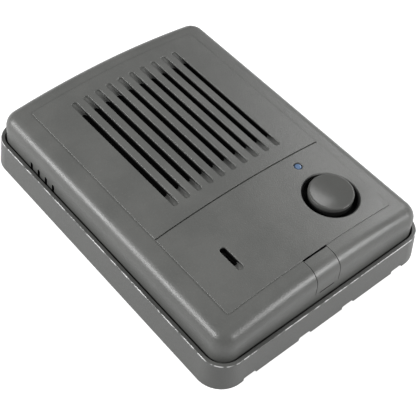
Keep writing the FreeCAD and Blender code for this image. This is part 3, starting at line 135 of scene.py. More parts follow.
class IntercomParts(bpy.types.PropertyGroup):
    spring_wire: bpy.props.FloatProperty(
        name="Spring wire", description="Diameter of the return spring's wire",
        default=0.5 * MM, min=0.1 * MM, unit="LENGTH")
    spring_turns: bpy.props.IntProperty(
        name="Spring turns", description="Open turns of the return spring",
        default=5, min=2)
    thread_pitch: bpy.props.FloatProperty(
        name="Thread pitch", description="Distance between the turns of a screw's thread",
        default=1.05 * MM, min=0.3 * MM, unit="LENGTH")
    lining_wall: bpy.props.FloatProperty(
        name="Lining", description="Thickness of the rubber lining round the button",
        default=0.3 * MM, min=0.1 * MM, unit="LENGTH")
    solder_height: bpy.props.FloatProperty(
        name="Solder height", description="Height of a solder joint on the board",
        default=0.6 * MM, min=0.1 * MM, unit="LENGTH")


class IntercomStage(bpy.types.PropertyGroup):
    floor_size: bpy.props.FloatProperty(
        name="Floor size", description="Width of the square floor", default=6.0, unit="LENGTH")
    floor_colour: bpy.props.FloatVectorProperty(
        name="Floor colour", description="Colour of the plain pale floor",
        default=(0.7, 0.7, 0.7, 1.0), **COLOUR)
    floor_glow: bpy.props.FloatProperty(
        name="Floor whiteness", description="Share of plain white seen in the floor",
        default=0.72, min=0.0, max=1.0, subtype="FACTOR")
    fill_strength: bpy.props.FloatProperty(
        name="Fill", description="Strength of the even light from all round",
        default=0.22, min=0.0)
    camera_place: bpy.props.FloatVectorProperty(
        name="Camera place", description="Where the camera stands",
        default=(-0.16456, -0.16732, 0.28108), subtype="TRANSLATION", unit="LENGTH")
    camera_right: bpy.props.FloatVectorProperty(
        name="Camera right", description="Direction of the picture's right side",
        default=(0.7624, -0.6432, 0.0708), subtype="XYZ")
    camera_up: bpy.props.FloatVectorProperty(
        name="Camera up", description="Direction of the picture's upper side",
        default=(0.4645, 0.6202, 0.6322), subtype="XYZ")
    lens: bpy.props.FloatProperty(
        name="Lens", description="Focal length in millimetres on a 36 mm frame",
        default=86.14, min=1.0)


# Shared helpers for node trees


def node(beside, kind, **settings):
    """Adds a node to the tree of a socket. Settings name the node's properties."""
    made = beside.id_data.nodes.new(kind)
    for name, value in settings.items():
        setattr(made, name, value)
    return made


def feed(socket, source):
    """Puts a link or a plain value on a socket."""
    if isinstance(source, bpy.types.NodeSocket):
        socket.id_data.links.new(source, socket)
    else:
        socket.default_value = source


def fill(made, *sources, **named):
    """Feeds a node's inputs in their order, or by name with underscores for spaces."""
    for socket, source in zip(made.inputs, sources):
        feed(socket, source)
    for name, source in named.items():
        feed(made.inputs[name.replace("_", " ")], source)
    return made


def maths(operation, *values):
    """Adds a Math node beside the first of its values that is a socket."""
    beside = next(value for value in values if isinstance(value, bpy.types.NodeSocket))
    return fill(node(beside, "ShaderNodeMath", operation=operation), *values).outputs[0]


def scaled(value, factor, offset):
    return maths("MULTIPLY_ADD", value, factor, offset)


def times(first, *others):
    for other in others:
        first = maths("MULTIPLY", first, other)
    return first


def highest(first, *others):
    for other in others:
        first = maths("MAXIMUM", first, other)
    return first


def unsigned(value):
    return maths("ABSOLUTE", value)


def spread(value, low, high, to_low=0.0, to_high=1.0):
    """Maps a range of a value smoothly onto another."""
    made = node(value, "ShaderNodeMapRange", interpolation_type="SMOOTHSTEP")
    return fill(made, value, low, high, to_low, to_high).outputs["Result"]


def mix_colours(share, first, second):
    """Goes from a first colour to a second one as a share rises to 1."""
    made = node(share, "ShaderNodeMix", data_type="RGBA")
    for index, source in ((0, share), (6, first), (7, second)):
        feed(made.inputs[index], source)
    return made.outputs[2]


def axes(vector):
    """The three parts of a vector."""
    return fill(node(vector, "ShaderNodeSeparateXYZ"), vector).outputs


def facing(beside):
    """The three parts of the direction in which the surface faces."""
    return axes(node(beside, "ShaderNodeNewGeometry").outputs["True Normal"])


def noise(vector, scale, detail, roughness):
    made = fill(node(vector, "ShaderNodeTexNoise"), vector, Scale=scale)
    return fill(made, Detail=detail, Roughness=roughness).outputs["Fac"]


def cells(vector, scale):
    """Distance to the middle of the nearest of many small cells."""
    made = node(vector, "ShaderNodeTexVoronoi", feature="F1")
    return fill(made, Vector=vector, Scale=scale).outputs["Distance"]


def stretched(vector, scale):
    """Coordinates drawn out by a scale along each axis."""
    return fill(node(vector, "ShaderNodeMapping"), Vector=vector, Scale=scale).outputs["Vector"]


def within(places, middle, reach):
    """Masks what lies within a reach of a middle along each axis, in millimetres."""
    return times(*[maths("LESS_THAN", unsigned(maths("SUBTRACT", place, centre * MM)), half * MM)
                   for place, centre, half in zip(places, middle, reach)])


def moulded_grain(start, end):
    """Fine spark-eroded grain of a moulding."""
    scale = maths("DIVIDE", 1.0, start["Grain Size"])
    fine = noise(start["Vector"], scale, 2.0, 0.6)
    pits = spread(cells(start["Vector"], scale), 0.1, 0.7, 0.0, 0.4)
    shade = times(maths("SUBTRACT", fine, 0.5), start["Sparkle"])
    fill(end, Height=scaled(fine, 0.6, pits), Shade=shade)


def edge_wear_and_highlight(start, end):
    """Rounds the shading of sharp edges and masks them, where they wear and where a highlight is
    painted.
    """
    vector = start["Vector"]
    rounded = fill(node(vector, "ShaderNodeBevel", samples=6), Radius=start["Radius"])
    normals = [made.outputs["Normal"] for made in (rounded, node(vector, "ShaderNodeNewGeometry"))]
    same = fill(node(vector, "ShaderNodeVectorMath", operation="DOT_PRODUCT"), *normals)
    bend = spread(same.outputs["Value"], 0.995, 0.8)
    broken = noise(vector, maths("DIVIDE", 1.0, start["Breakup Size"]), 4.0, 0.6)
    fill(end, Normal=normals[0], Edge=times(bend, spread(broken, 0.35, 0.65)))


def dust_and_marks(start, end):
    """Thin dust and faint handling marks, most on faces that look up."""
    scale = maths("DIVIDE", 1.0, start["Patch Size"])
    patches = spread(noise(start["Vector"], scale, 5.0, 0.6), 0.35, 0.7)
    specks = noise(start["Vector"], times(scale, 40.0), 2.0, 0.5)
    normal = node(scale, "ShaderNodeNewGeometry").outputs["Normal"]
    upward = spread(axes(normal)["Z"], -0.2, 1.0, 0.3, 1.0)
    lying = scaled(patches, 0.5, spread(specks, 0.62, 0.72))
    fill(end, Dust=times(lying, upward, start["Amount"]), Smears=patches)


def plain_weave(start, end):
    """Threads that pass over and under each other across X and Y."""
    turn = maths("DIVIDE", math.pi, start["Thread Size"])
    places = axes(start["Vector"])
    waves = [maths("SINE", times(places[axis], turn)) for axis in ("X", "Y")]
    over = spread(times(*waves), -0.1, 0.1)
    warp, weft = [unsigned(wave) for wave in waves]
    fill(end, Height=scaled(over, maths("SUBTRACT", warp, weft), weft),
         Gap=spread(highest(warp, weft), 0.45, 0.2))


# Each shared group: its function, the numbers that it takes beside a Vector, and its outputs

GROUPS = {
    "Moulded grain": (moulded_grain, {"Grain Size": 0.0004, "Sparkle": 0.1}, ("Height", "Shade")),
    "Edge wear": (edge_wear_and_highlight, {"Radius": 0.0003, "Breakup Size": 0.004}, ("Normal", "Edge")),
    "Dust and marks": (dust_and_marks, {"Amount": 0.2, "Patch Size": 0.02}, ("Dust", "Smears")),
    "Plain weave": (plain_weave, {"Thread Size": 0.0004}, ("Height", "Gap")),
}


def shared_group(name):
    """The node group of a name, built when it is first asked for."""
    if name in bpy.data.node_groups:
        return bpy.data.node_groups[name]
    build, numbers, results = GROUPS[name]
    group = bpy.data.node_groups.new(name, "ShaderNodeTree")
    group.interface.new_socket("Vector", in_out="INPUT", socket_type="NodeSocketVector")
    for label, value in numbers.items():
        socket = group.interface.new_socket(label, in_out="INPUT", socket_type="NodeSocketFloat")
        socket.default_value = value
    for label in results:
        kind = "NodeSocketVector" if label == "Normal" else "NodeSocketFloat"
        group.interface.new_socket(label, in_out="OUTPUT", socket_type=kind)
    build(node(group, "NodeGroupInput").outputs, node(group, "NodeGroupOutput"))
    return group


def use_group(name, coords, **values):
    """Places a shared group and sets its inputs."""
    made = node(coords, "ShaderNodeGroup", node_tree=shared_group(name))
    return fill(made, Vector=coords, **values).outputs


def lay_out(tree):
    """Puts a tree's nodes in columns, each to the left of what it feeds."""
    columns, rows = {}, {}

    def column(made):
        if made.name not in columns:
            fed = [link.to_node for socket in made.outputs for link in socket.links]
            columns[made.name] = 1 + max(map(column, fed), default=0)
        return columns[made.name]

    for made in tree.nodes:
        row = rows[column(made)] = rows.get(column(made), 0) + 1
        made.location = (-220 * column(made), -320 * row)


def start_material(name):
    """New material with a Principled shader, and its Object coordinates."""
    made = bpy.data.materials.new(name)
    made.use_nodes = True
    return made, node(made.node_tree, "ShaderNodeTexCoord").outputs["Object"]


def principled(material):
    return material.node_tree.nodes["Principled BSDF"]


def surface(made, colour, rough, height, depth, distance, normal=None, **settings):
    """Gives a material its colour, roughness and bump. Settings are the shader's own values."""
    bump = fill(node(colour, "ShaderNodeBump"), Height=height, Strength=depth, Distance=distance)
    if normal is not None:
        feed(bump.inputs["Normal"], normal)
    fill(principled(made), Base_Color=colour, Roughness=rough, Normal=bump.outputs["Normal"],
         **settings)
    return made


def grey(tone):
    return (tone,) * 3


def whole(colour, factor=1.0):
    """A colour with full alpha, made lighter or darker by a factor."""
    return tuple(min(1.0, part * factor) for part in colour[:3]) + (1.0,)


def moulded(name, colour, roughness, grain, depth, softness=0.25 * MM, dust=0.1, edge_light=1.25,
            mottle=0.06, sparkle=0.16, shine=0.5, rim_highlight=None, painted_shade=None):
    """Moulded plastic or rubber: grain, rounded edges that catch light, edges made lighter partly
    as wear and partly as a painted highlight, and a little dust.
    Functions of the coordinates may mask a rim where a highlight is painted, and places where shade
    is painted near black."""
    made, coords = start_material(name)
    grains = use_group("Moulded grain", coords, Grain_Size=grain, Sparkle=sparkle)
    edges = use_group("Edge wear", coords, Radius=softness)
    dirt = use_group("Dust and marks", coords, Amount=dust)
    tone = maths("ADD", scaled(dirt["Smears"], mottle, 1.0 - mottle / 2), grains["Shade"])
    base = fill(node(tone, "ShaderNodeVectorMath", operation="SCALE"), colour[:3], Scale=tone)
    # Edges are made lighter by edge_light, partly as wear and partly as a painted highlight
    worn = mix_colours(edges["Edge"], base.outputs["Vector"], whole(colour, edge_light))
    shade = mix_colours(dirt["Dust"], worn, DUST)
    rough = scaled(dirt["Smears"], 0.06, roughness - 0.03)
    if rim_highlight is not None:
        # A lighter broken line is painted along the rim as its highlight, and the rim is made
        # smoother there
        line = rim_highlight(coords)
        shade = mix_colours(line, shade, PAINTED_HIGHLIGHT)
        rough = scaled(line, -0.2, rough)
    if painted_shade is not None:
        # Shade is painted near black where the mask finds recesses, cuts and gaps
        shade = mix_colours(painted_shade(coords), shade, SHADE_BLACK)
    return surface(made, shade, rough, grains["Height"], depth, 0.1 * MM, edges["Normal"],
                   Specular_IOR_Level=shine)


def tray_rim_highlight(coords):
    """Masks a broken line along the tray's turned edge, where a highlight is painted."""
    level = spread(axes(coords)["Z"], (RIM_HEIGHT - 0.5) * MM, (RIM_HEIGHT - 0.3) * MM)
    slope = facing(coords)["Z"]
    edge = times(spread(slope, 0.1, 0.35), spread(slope, 0.99, 0.9))
    return times(level, edge, spread(noise(coords, 260.0, 3.0, 0.65), 0.42, 0.56))


def button_painted_shade(coords):
    """Masks the button's side where it stands in its well, where shade is painted near black."""
    sunk = spread(axes(coords)["Z"], 26.3 * MM, 25.2 * MM)
    return times(sunk, spread(unsigned(facing(coords)["Z"]), 0.5, 0.2, 0.0, 0.9))


def cover_painted_shade(coords):
    """Masks where shade is painted near black: the steep walls of the panel's slots and wells, the
    vents low in the side, and the cuts, fold and upper gap of the flap."""
    x, y, z = axes(coords)
    off_middle = unsigned(x)
    normal = facing(coords)
    steep = spread(unsigned(normal["Z"]), 0.75, 0.5)
    sideways = unsigned(normal["X"])
    crown = maths("SUBTRACT", CROWN_TOP * MM, times(x, x, 1 / (2 * CROWN_RADIUS * MM)))
    deep = spread(maths("SUBTRACT", crown, z), 0.45 * MM, 0.75 * MM)
    wells = times(deep, steep, within((x, y), *PANEL))
    vents = times(within((x, y, z), *VENTS), maths("LESS_THAN", sideways, 0.7))
    cuts = times(within((off_middle,), *FLAP_SIDES), maths("LESS_THAN", y, FLAP_START * MM),
                 maths("GREATER_THAN", sideways, 0.7),
                 spread(off_middle, 5.15 * MM, 5.25 * MM, 0.65, 1.0))
    fold = times(within((x, z), *FLAP_FOLD), maths("LESS_THAN", y, FOLD_START * MM))
    gap = times(within((x, y), *FLAP_TOP), steep)
    return highest(wells, vents, cuts, fold, gap)


def metal(name, colour, roughness, brush=(1.0, 1.0, 1.0), tarnish=0.15):
    """Plated or drawn metal with fine streaks and some dulling."""
    made, coords = start_material(name)
    streaks = noise(stretched(coords, brush), 1.0 / (0.12 * MM), 3.0, 0.6)
    edges = use_group("Edge wear", coords, Radius=0.12 * MM, Breakup_Size=0.002)
    dirt = use_group("Dust and marks", coords, Patch_Size=0.006)
    plated = mix_colours(times(dirt["Smears"], tarnish), whole(colour), whole(colour, 0.55))
    bright = mix_colours(times(edges["Edge"], 0.4), plated, whole(colour, 1.4))
    rough = spread(streaks, 0.3, 0.7, roughness * 0.8, roughness * 1.25)
    return surface(made, bright, rough, streaks, 0.1, 0.05 * MM, edges["Normal"], Metallic=1.0)


def woven(name, colour, thread):
    """Woven cloth, with shade painted dark in the gaps between its threads."""
    made, coords = start_material(name)
    weave = use_group("Plain weave", coords, Thread_Size=thread)
    fibres = noise(coords, 0.4 / thread, 4.0, 0.7)
    lit = mix_colours(fibres, whole(colour, 0.7), whole(colour, 1.5))
    # The gaps between threads are painted dark as shade
    shade = mix_colours(weave["Gap"], lit, whole(colour, 0.2))
    return surface(made, shade, scaled(fibres, 0.1, 0.85), weave["Height"], 0.8, thread / 2,
                   Specular_IOR_Level=0.2)


def foam(name, colour, cell):
    """Open foam, with shade painted dark in its small pores."""
    made, coords = start_material(name)
    distance = cells(coords, 1.0 / cell)
    pore_shade = spread(distance, 0.45, 0.2)
    patchy = noise(coords, 0.2 / cell, 3.0, 0.6)
    skin = mix_colours(patchy, whole(colour, 0.8), whole(colour, 1.4))
    shade = mix_colours(pore_shade, skin, whole(colour, 0.3))
    return surface(made, shade, scaled(pore_shade, 0.05, 0.9), distance, 0.7, cell)


def pulp(name, colour):
    """Pressed paper pulp: short matted fibres."""
    made, coords = start_material(name)
    fibres = noise(stretched(coords, (1.0, 0.25, 1.0)), 2600.0, 5.0, 0.7)
    clumps = noise(coords, 500.0, 3.0, 0.5)
    mixed = scaled(clumps, 0.5, times(fibres, 0.5))
    shade = mix_colours(mixed, whole(colour, 0.5), whole(colour, 1.8))
    return surface(made, shade, scaled(clumps, 0.1, 0.78), fibres, 0.5, 0.1 * MM)


def winding(name, colour, wire):
    """Enamelled wire wound in close turns up the coil."""
    made, coords = start_material(name)
    turns = unsigned(maths("SINE", times(axes(coords)["Z"], math.pi / wire)))
    uneven = noise(coords, 900.0, 2.0, 0.5)
    lit = times(spread(turns, 0.0, 0.5), uneven)
    shade = mix_colours(lit, whole(colour, 0.4), whole(colour, 1.5))
    return surface(made, shade, scaled(uneven, 0.15, 0.2), turns, 0.7, wire / 2, Metallic=0.9)


def circuit(name, mask_colour, copper_tint, pitch):
    """Board under solder mask, with the lines of its tracks showing through."""
    made, coords = start_material(name)
    places = axes(coords)
    lines = []
    for along, across, seed in (("X", "Y", 3.0), ("Y", "X", 7.0)):
        row = maths("DIVIDE", places[across], pitch)
        near = unsigned(maths("SUBTRACT", maths("FRACT", row), 0.5))
        joined = fill(node(row, "ShaderNodeCombineXYZ"), Y=maths("FLOOR", row), Z=seed,
                      X=maths("DIVIDE", places[along], 7.0 * pitch))
        run = spread(noise(joined.outputs[0], 1.3, 0.0, 0.5), 0.5, 0.52)
        lines.append(times(spread(near, 0.16, 0.12), run))
    tracks = highest(*lines)
    patchy = noise(coords, 180.0, 3.0, 0.6)
    mask = mix_colours(patchy, whole(mask_colour, 0.85), whole(mask_colour, 1.15))
    shade = mix_colours(tracks, mask, whole(copper_tint))
    return surface(made, shade, scaled(patchy, 0.1, 0.22), tracks, 0.4, 0.05 * MM)


def tinted(name, colour, roughness, clearness):
    """Tinted clear plastic with faint flow lines."""
    made, coords = start_material(name)
    flow = noise(stretched(coords, (1.0, 1.0, 0.3)), 900.0, 3.0, 0.5)
    shade = mix_colours(flow, whole(colour, 0.8), whole(colour, 1.3))
    scuffs = noise(coords, 2500.0, 2.0, 0.6)
    rough = spread(scuffs, 0.5, 0.7, roughness, roughness + 0.2)
    return surface(made, shade, rough, flow, 0.1, 0.05 * MM, Transmission_Weight=clearness,
                   IOR=1.49)


def tin_beyond(material, axis, middle, reach):
    """Turns a material to tinned metal where it lies beyond a reach, in millimetres."""
    inputs = principled(material).inputs
    coords = node(material.node_tree, "ShaderNodeTexCoord").outputs["Object"]
    away = unsigned(maths("SUBTRACT", axes(coords)[axis], middle * MM))
    mask = maths("GREATER_THAN", away, reach * MM)
    worn = noise(coords, 1800.0, 3.0, 0.6)
    tin = mix_colours(worn, DULL_TIN, BRIGHT_TIN)
    colour = inputs["Base Color"].links[0].from_socket
    rough = inputs["Roughness"].links[0].from_socket
    feed(inputs["Base Color"], mix_colours(mask, colour, tin))
    kept = times(rough, maths("SUBTRACT", 1.0, mask))
    feed(inputs["Roughness"], scaled(scaled(worn, 0.25, 0.15), mask, kept))
    feed(inputs["Metallic"], mask)
    return material


def dress(material, *names):
    """Gives a material to CAD nodes."""
    for name in names:
        mesh = bpy.data.objects[name].data
        mesh.materials.clear()
        mesh.materials.append(material)


# Modelling steps, in millimetres

UPRIGHT = (math.pi / 2, 0, 0)


def metres(*parts):
    return tuple(part * MM for part in parts)


def begin():
    """Leaves edit mode and selects nothing."""
    if bpy.context.mode != "OBJECT":
        bpy.ops.object.mode_set(mode="OBJECT")
    bpy.ops.object.select_all(action="DESELECT")


def take(piece):
    """Makes a piece the only selected one."""
    begin()
    piece.select_set(True)
    bpy.context.view_layer.objects.active = piece


def open_up(piece):
    """Opens a piece in edit mode with all of it selected."""
    take(piece)
    bpy.ops.object.mode_set(mode="EDIT")
    bpy.ops.mesh.select_all(action="SELECT")


def choose(piece, kind, test):
    """Opens a piece and selects those of its verts, edges or faces that pass a test."""
    open_up(piece)
    bpy.ops.mesh.select_mode(type=kind[:-1].upper())
    bpy.ops.mesh.select_all(action="DESELECT")
    mesh = bmesh.from_edit_mesh(piece.data)
    for part in getattr(mesh, kind):
        if test(part):
            part.select_set(True)
    mesh.select_flush_mode()
    bmesh.update_edit_mesh(piece.data)


def settle(piece):
    """Puts a piece's place, turn and size into its mesh."""
    take(piece)
    bpy.ops.object.transform_apply()


def block(size, place=(0, 0, 0)):
    """A box of a size about a place."""
    begin()
    bpy.ops.mesh.primitive_cube_add(size=1.0, location=metres(*place))
    made = bpy.context.object
    made.scale = Vector(size) * MM
    settle(made)
    return made


def hoop(corners, radius, place, **settings):
    """A circle about a place, from which other shapes are drawn out."""
    begin()
    bpy.ops.mesh.primitive_circle_add(vertices=corners, radius=radius * MM,
                                      location=metres(*place), **settings)
    return bpy.context.object


def draw_out(*step):
    """Extrudes what is selected by a step."""
    bpy.ops.mesh.extrude_region_move(TRANSFORM_OT_translate={"value": metres(*step)})


def swell(factors, centre):
    """Scales what is selected by a factor along each axis, about a centre."""
    bpy.ops.transform.resize(value=factors, center_override=metres(*centre))


def apply_modifier(piece, kind, **settings):
    """Adds a modifier with its settings and applies it."""
    take(piece)
    added = piece.modifiers.new(kind, kind)
    for name, value in settings.items():
        setattr(added, name, value)
    bpy.ops.object.modifier_apply(modifier=added.name)


def soften(piece, width, segments=2):
    """Rounds a piece's sharp edges."""
    apply_modifier(piece, "BEVEL", width=width * MM, segments=segments, limit_method="ANGLE")


def cut_away(piece, tool):
    """Cuts one piece out of another and drops the tool."""
    apply_modifier(piece, "BOOLEAN", operation="DIFFERENCE", solver="EXACT", object=tool)
    bpy.data.objects.remove(tool)


def turned(profile, segments, place=(0.0, 0.0), hollow=False):
    """A round piece, drawn out ring by ring along a profile of radii and heights.
    A hollow one's profile ends where it starts, and any other is filled at both ends."""
    radius, height = profile[0]
    piece = hoop(segments, radius, (*place, height))
    open_up(piece)
    if not hollow:
        bpy.ops.mesh.edge_face_add()
    for next_radius, next_height in profile[1:]:
        draw_out(0, 0, next_height - height)
        grow = next_radius / radius
        swell((grow, grow, 1.0), (*place, next_height))
        radius, height = next_radius, next_height
    begin()
    return piece


def wound(section, corners, radius, pitch, turns, start, steps=32):
    """A wire or ridge wound up the Z axis."""
    piece = hoop(corners, section, (radius, 0, start), rotation=UPRIGHT)
    settle(piece)
    apply_modifier(piece, "SCREW", angle=2 * math.pi, screw_offset=pitch * MM, iterations=turns,
                   steps=steps, render_steps=steps)
    return piece


def join(pieces):
    """Joins pieces into the first one."""
    begin()
    for piece in pieces:
        piece.select_set(True)
    bpy.context.view_layer.objects.active = pieces[0]
    if len(pieces) > 1:
        bpy.ops.object.join()
    return pieces[0]


def repeat(piece, spots, height, flip=False):
    """Copies a piece to spots at a height, each with its own mesh, and joins the copies."""
    made = []
    for x, y in spots:
        take(piece)
        bpy.ops.object.duplicate()
        twin = bpy.context.object
        twin.location = Vector((x, y, height)) * MM
        twin.rotation_euler.x = math.pi if flip else 0.0
        settle(twin)
        made.append(twin)
    bpy.data.objects.remove(piece)
    return join(made)


def corners_about(middle, half_x, half_y):
    """The four corners of a rectangle."""
    return [(middle[0] + x, middle[1] + y) for x in (-half_x, half_x) for y in (-half_y, half_y)]


def close_mesh(piece):
    """Merges doubles, fills open ends and turns every face outwards."""
    settle(piece)
    open_up(piece)
    bpy.ops.mesh.remove_doubles(threshold=0.001 * MM)
    bpy.ops.mesh.fill_holes(sides=0)
    bpy.ops.mesh.normals_make_consistent()
    begin()


def complete(piece, name, material, stands_for=None, body="housing", angle=40.0):
    """Closes a piece, smooths it and gives it a name, a finish and a body to ride on."""
    close_mesh(piece)
    take(piece)
    bpy.ops.object.shade_smooth_by_angle(angle=math.radians(angle))
    piece.name = piece.data.name = name
    if material is not None:
        dress(material, name)
    if body is not None:
        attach(piece, body)
    if stands_for is not None:
        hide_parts(stands_for)


def pan_screw(radius, length, head_radius, head_height, pitch):
    """Cross-recessed screw with a wound thread. Its head looks up and rests at the origin."""
    profile = [(0.25 * radius, -length), (0.8 * radius, -length + radius), (0.8 * radius, 0),
               (head_radius, 0), (head_radius, 0.35 * head_height),
               (0.94 * head_radius, 0.62 * head_height), (0.75 * head_radius, 0.86 * head_height),
               (0.42 * head_radius, head_height)]
    screw = turned(profile, 32)
    for bar_turn in (0.0, math.pi / 2):
        bar = block((1.2 * head_radius, 0.32 * head_radius, 1.15 * head_height),
                    (0, 0, head_height))
        choose(bar, "faces", lambda face: face.normal.z < -0.9)
        swell((0.4, 0.6, 1.0), (0, 0, 0))
        begin()
        bar.rotation_euler.z = bar_turn
        settle(bar)
        cut_away(screw, bar)
    turns = int((length - 1.2 * radius) / pitch)
    ridge = wound(0.22 * radius, 4, 0.78 * radius, pitch, turns, -length + radius, 24)
    close_mesh(ridge)
    close_mesh(screw)
    return join([screw, ridge])


def crowned(x, drop):
    """Height of the surface that lies a drop under the cover's crown."""
    return CROWN_TOP - CROWN_RADIUS + math.sqrt((CROWN_RADIUS - drop) ** 2 - x ** 2)


# Operators, one for each group of like pieces


class INTERCOM_OT_housing(bpy.types.Operator):
    """Give the cover, its flap and the tray their moulded grey finish, with shade painted into the
    cover's recesses and a highlight painted along the tray's rim, and make the flap's hinge
    """

    bl_idname = "intercom.housing"
    bl_label = "Dress the housing"

    def execute(self, context):
        finish = context.scene.intercom_finish
        # The cover's finish paints shade near black in its slots, wells and vents, and in the
        # flap's cuts, fold and upper gap
        cover = moulded("Cover grey", finish.cover_colour, 0.37, finish.grain_size, 0.45, 0.12 * MM,
                        edge_light=1.1, sparkle=0.22, painted_shade=cover_painted_shade)
        # The tray's finish paints a broken highlight along its rim
        tray = moulded("Tray grey", finish.tray_colour, 0.4, finish.grain_size, 0.5,
                       finish.edge_radius, edge_light=1.5, rim_highlight=tray_rim_highlight)
        dress(cover, "front_cover", "screw_flap", "screw_cup")
        dress(tray, "rear_base")
        self.hinge_skin(cover)
        return {"FINISHED"}

    def hinge_skin(self, material):
        """Thin web of the cover's own plastic that the flap folds on, thinnest at the fold."""
        skin = block((9.9, 0.3, 0.5), (0, HINGE_Y, HINGE_Z))
        choose(skin, "edges",
               lambda edge: abs(edge.verts[0].co.z - edge.verts[1].co.z) > 0.4 * MM)
        bpy.ops.mesh.subdivide(number_cuts=9)
        choose(skin, "verts", lambda vert: abs(vert.co.z - HINGE_Z * MM) < 0.12 * MM)
        swell((1.0, 0.7, 1.0), (0, HINGE_Y, 0))
        complete(skin, "flap_hinge_skin", material, body=None)
        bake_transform(skin)


class INTERCOM_OT_button(bpy.types.Operator):
    """Finish the call button with painted shade on its side and a painted highlight on its rim,
    line its well with near-black rubber that stands in for shade, and wind its return spring
    """

    bl_idname = "intercom.button"
    bl_label = "Dress the button"

    def execute(self, context):
        finish = context.scene.intercom_finish
        parts = context.scene.intercom_parts
        # The cap's side in its well is painted near black as shade, and its strong edge lightening
        # paints a highlight on its rim
        cap = moulded("Button grey", finish.button_colour, 0.22, finish.grain_size, 0.03,
                      finish.edge_radius, dust=0.03, edge_light=3.2, mottle=0.03, sparkle=0.05,
                      shine=0.3, painted_shade=button_painted_shade)
        # Near-black rubber, so that the lining stands in for the shade in the deep well
        rubber = moulded("Black rubber", grey(0.003), 0.8, 0.2 * MM, 0.2, dust=0.0, sparkle=0.3,
                         shine=0.15)
        steel = metal("Spring steel", (0.42, 0.42, 0.43), 0.3, (1.0, 1.0, 0.2))
        body = moulded("Switch black", (0.014, 0.014, 0.015), 0.4, 0.15 * MM, 0.1)
        plunger = moulded("Plunger black", (0.012, 0.012, 0.013), 0.3, 0.15 * MM, 0.05)
        dress(cap, "call_button")
        dress(steel, "button_retainer")
        dress(tin_beyond(body, "Z", 20.0, 6.85), "switch_body")
        dress(plunger, "switch_plunger")
        self.lining(rubber, parts.lining_wall / MM)
        self.spring(steel, parts.spring_wire / MM / 2, parts.spring_turns)
        self.switch_plate(metal("Switch plate steel", (0.6, 0.6, 0.58), 0.28, (0.1, 1.0, 1.0)))
        return {"FINISHED"}

    def lining(self, material, wall):
        """Rubber ring that covers the well's floor and stands up its wall, with a rolled lip. Near
        black, it stands in for the shade down the well.
        """
        hole = 6.7
        outer = WELL_RADIUS - 0.05
        inner = outer - wall
        foot = WELL_FLOOR
        lip = foot + 3.3
        profile = [(hole, foot), (outer, foot), (outer, lip - 0.15), (outer - 0.1, lip),
                   (inner - 0.1, lip), (inner - 0.2, lip - 0.2), (inner, lip - 0.5),
                   (inner, foot + 0.9), (inner - 0.4, foot + 0.45), (8.6, foot + 0.35),
                   (8.3, foot + 0.5), (8.0, foot + 0.35), (hole + 0.4, foot + 0.35),
                   (hole + 0.2, foot + 0.5), (hole, foot + 0.5), (hole, foot)]
        ring = turned(profile, 64, BUTTON, hollow=True)
        complete(ring, "button_well_lining", material, "button_seal")

    def spring(self, material, wire, turns):
        """Return spring of a wire of some radius, with a closed turn at each end."""
        low = BOARD_FRONT
        high = STEM_END
        radius = 4.753
        end_pitch = 2.04 * wire
        start = low + 1.04 * wire
        rise = high - low - 2.08 * wire - 2 * end_pitch
        coil = join([wound(wire, 10, radius, end_pitch, 1, start),
                     wound(wire, 10, radius, rise / turns, turns, start + end_pitch),
                     wound(wire, 10, radius, end_pitch, 1, start + end_pitch + rise)])
        coil.location = metres(*BUTTON, 0)
        complete(coil, "button_return_spring", material, "button_spring",
                 angle=60.0)
        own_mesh(coil)

    def switch_plate(self, material):
        """Stamped cover of the switch, held by four rivet heads."""
        plate = block((5.8, 5.8, 0.16), (*BUTTON, SWITCH_TOP + 0.08))
        cut_away(plate, turned([(1.8, SWITCH_TOP - 1), (1.8, SWITCH_TOP + 1)], 32, BUTTON))
        soften(plate, 0.04)
        rivet = turned([(0.45, 0.1), (0.45, 0.22), (0.34, 0.31), (0.15, 0.35)], 16)
        rivets = repeat(rivet, corners_about(BUTTON, 2.2, 2.2), SWITCH_TOP)
        close_mesh(plate)
        close_mesh(rivets)
        complete(join([plate, rivets]), "switch_cover_plate", material)


class INTERCOM_OT_indicator(bpy.types.Operator):
    """Finish the blue lens and the diode behind it"""

    bl_idname = "intercom.indicator"
    bl_label = "Dress the indicator"

    def execute(self, context):
        tint = context.scene.intercom_finish.lens_colour
        dress(tinted("Blue lens", tint, 0.12, 0.15), "led_lens")
        diode = tinted("Blue diode", (0.05, 0.09, 0.4), 0.1, 0.5)
        dress(tin_beyond(diode, "Z", 20.0, 5.95), "led")
        return {"FINISHED"}


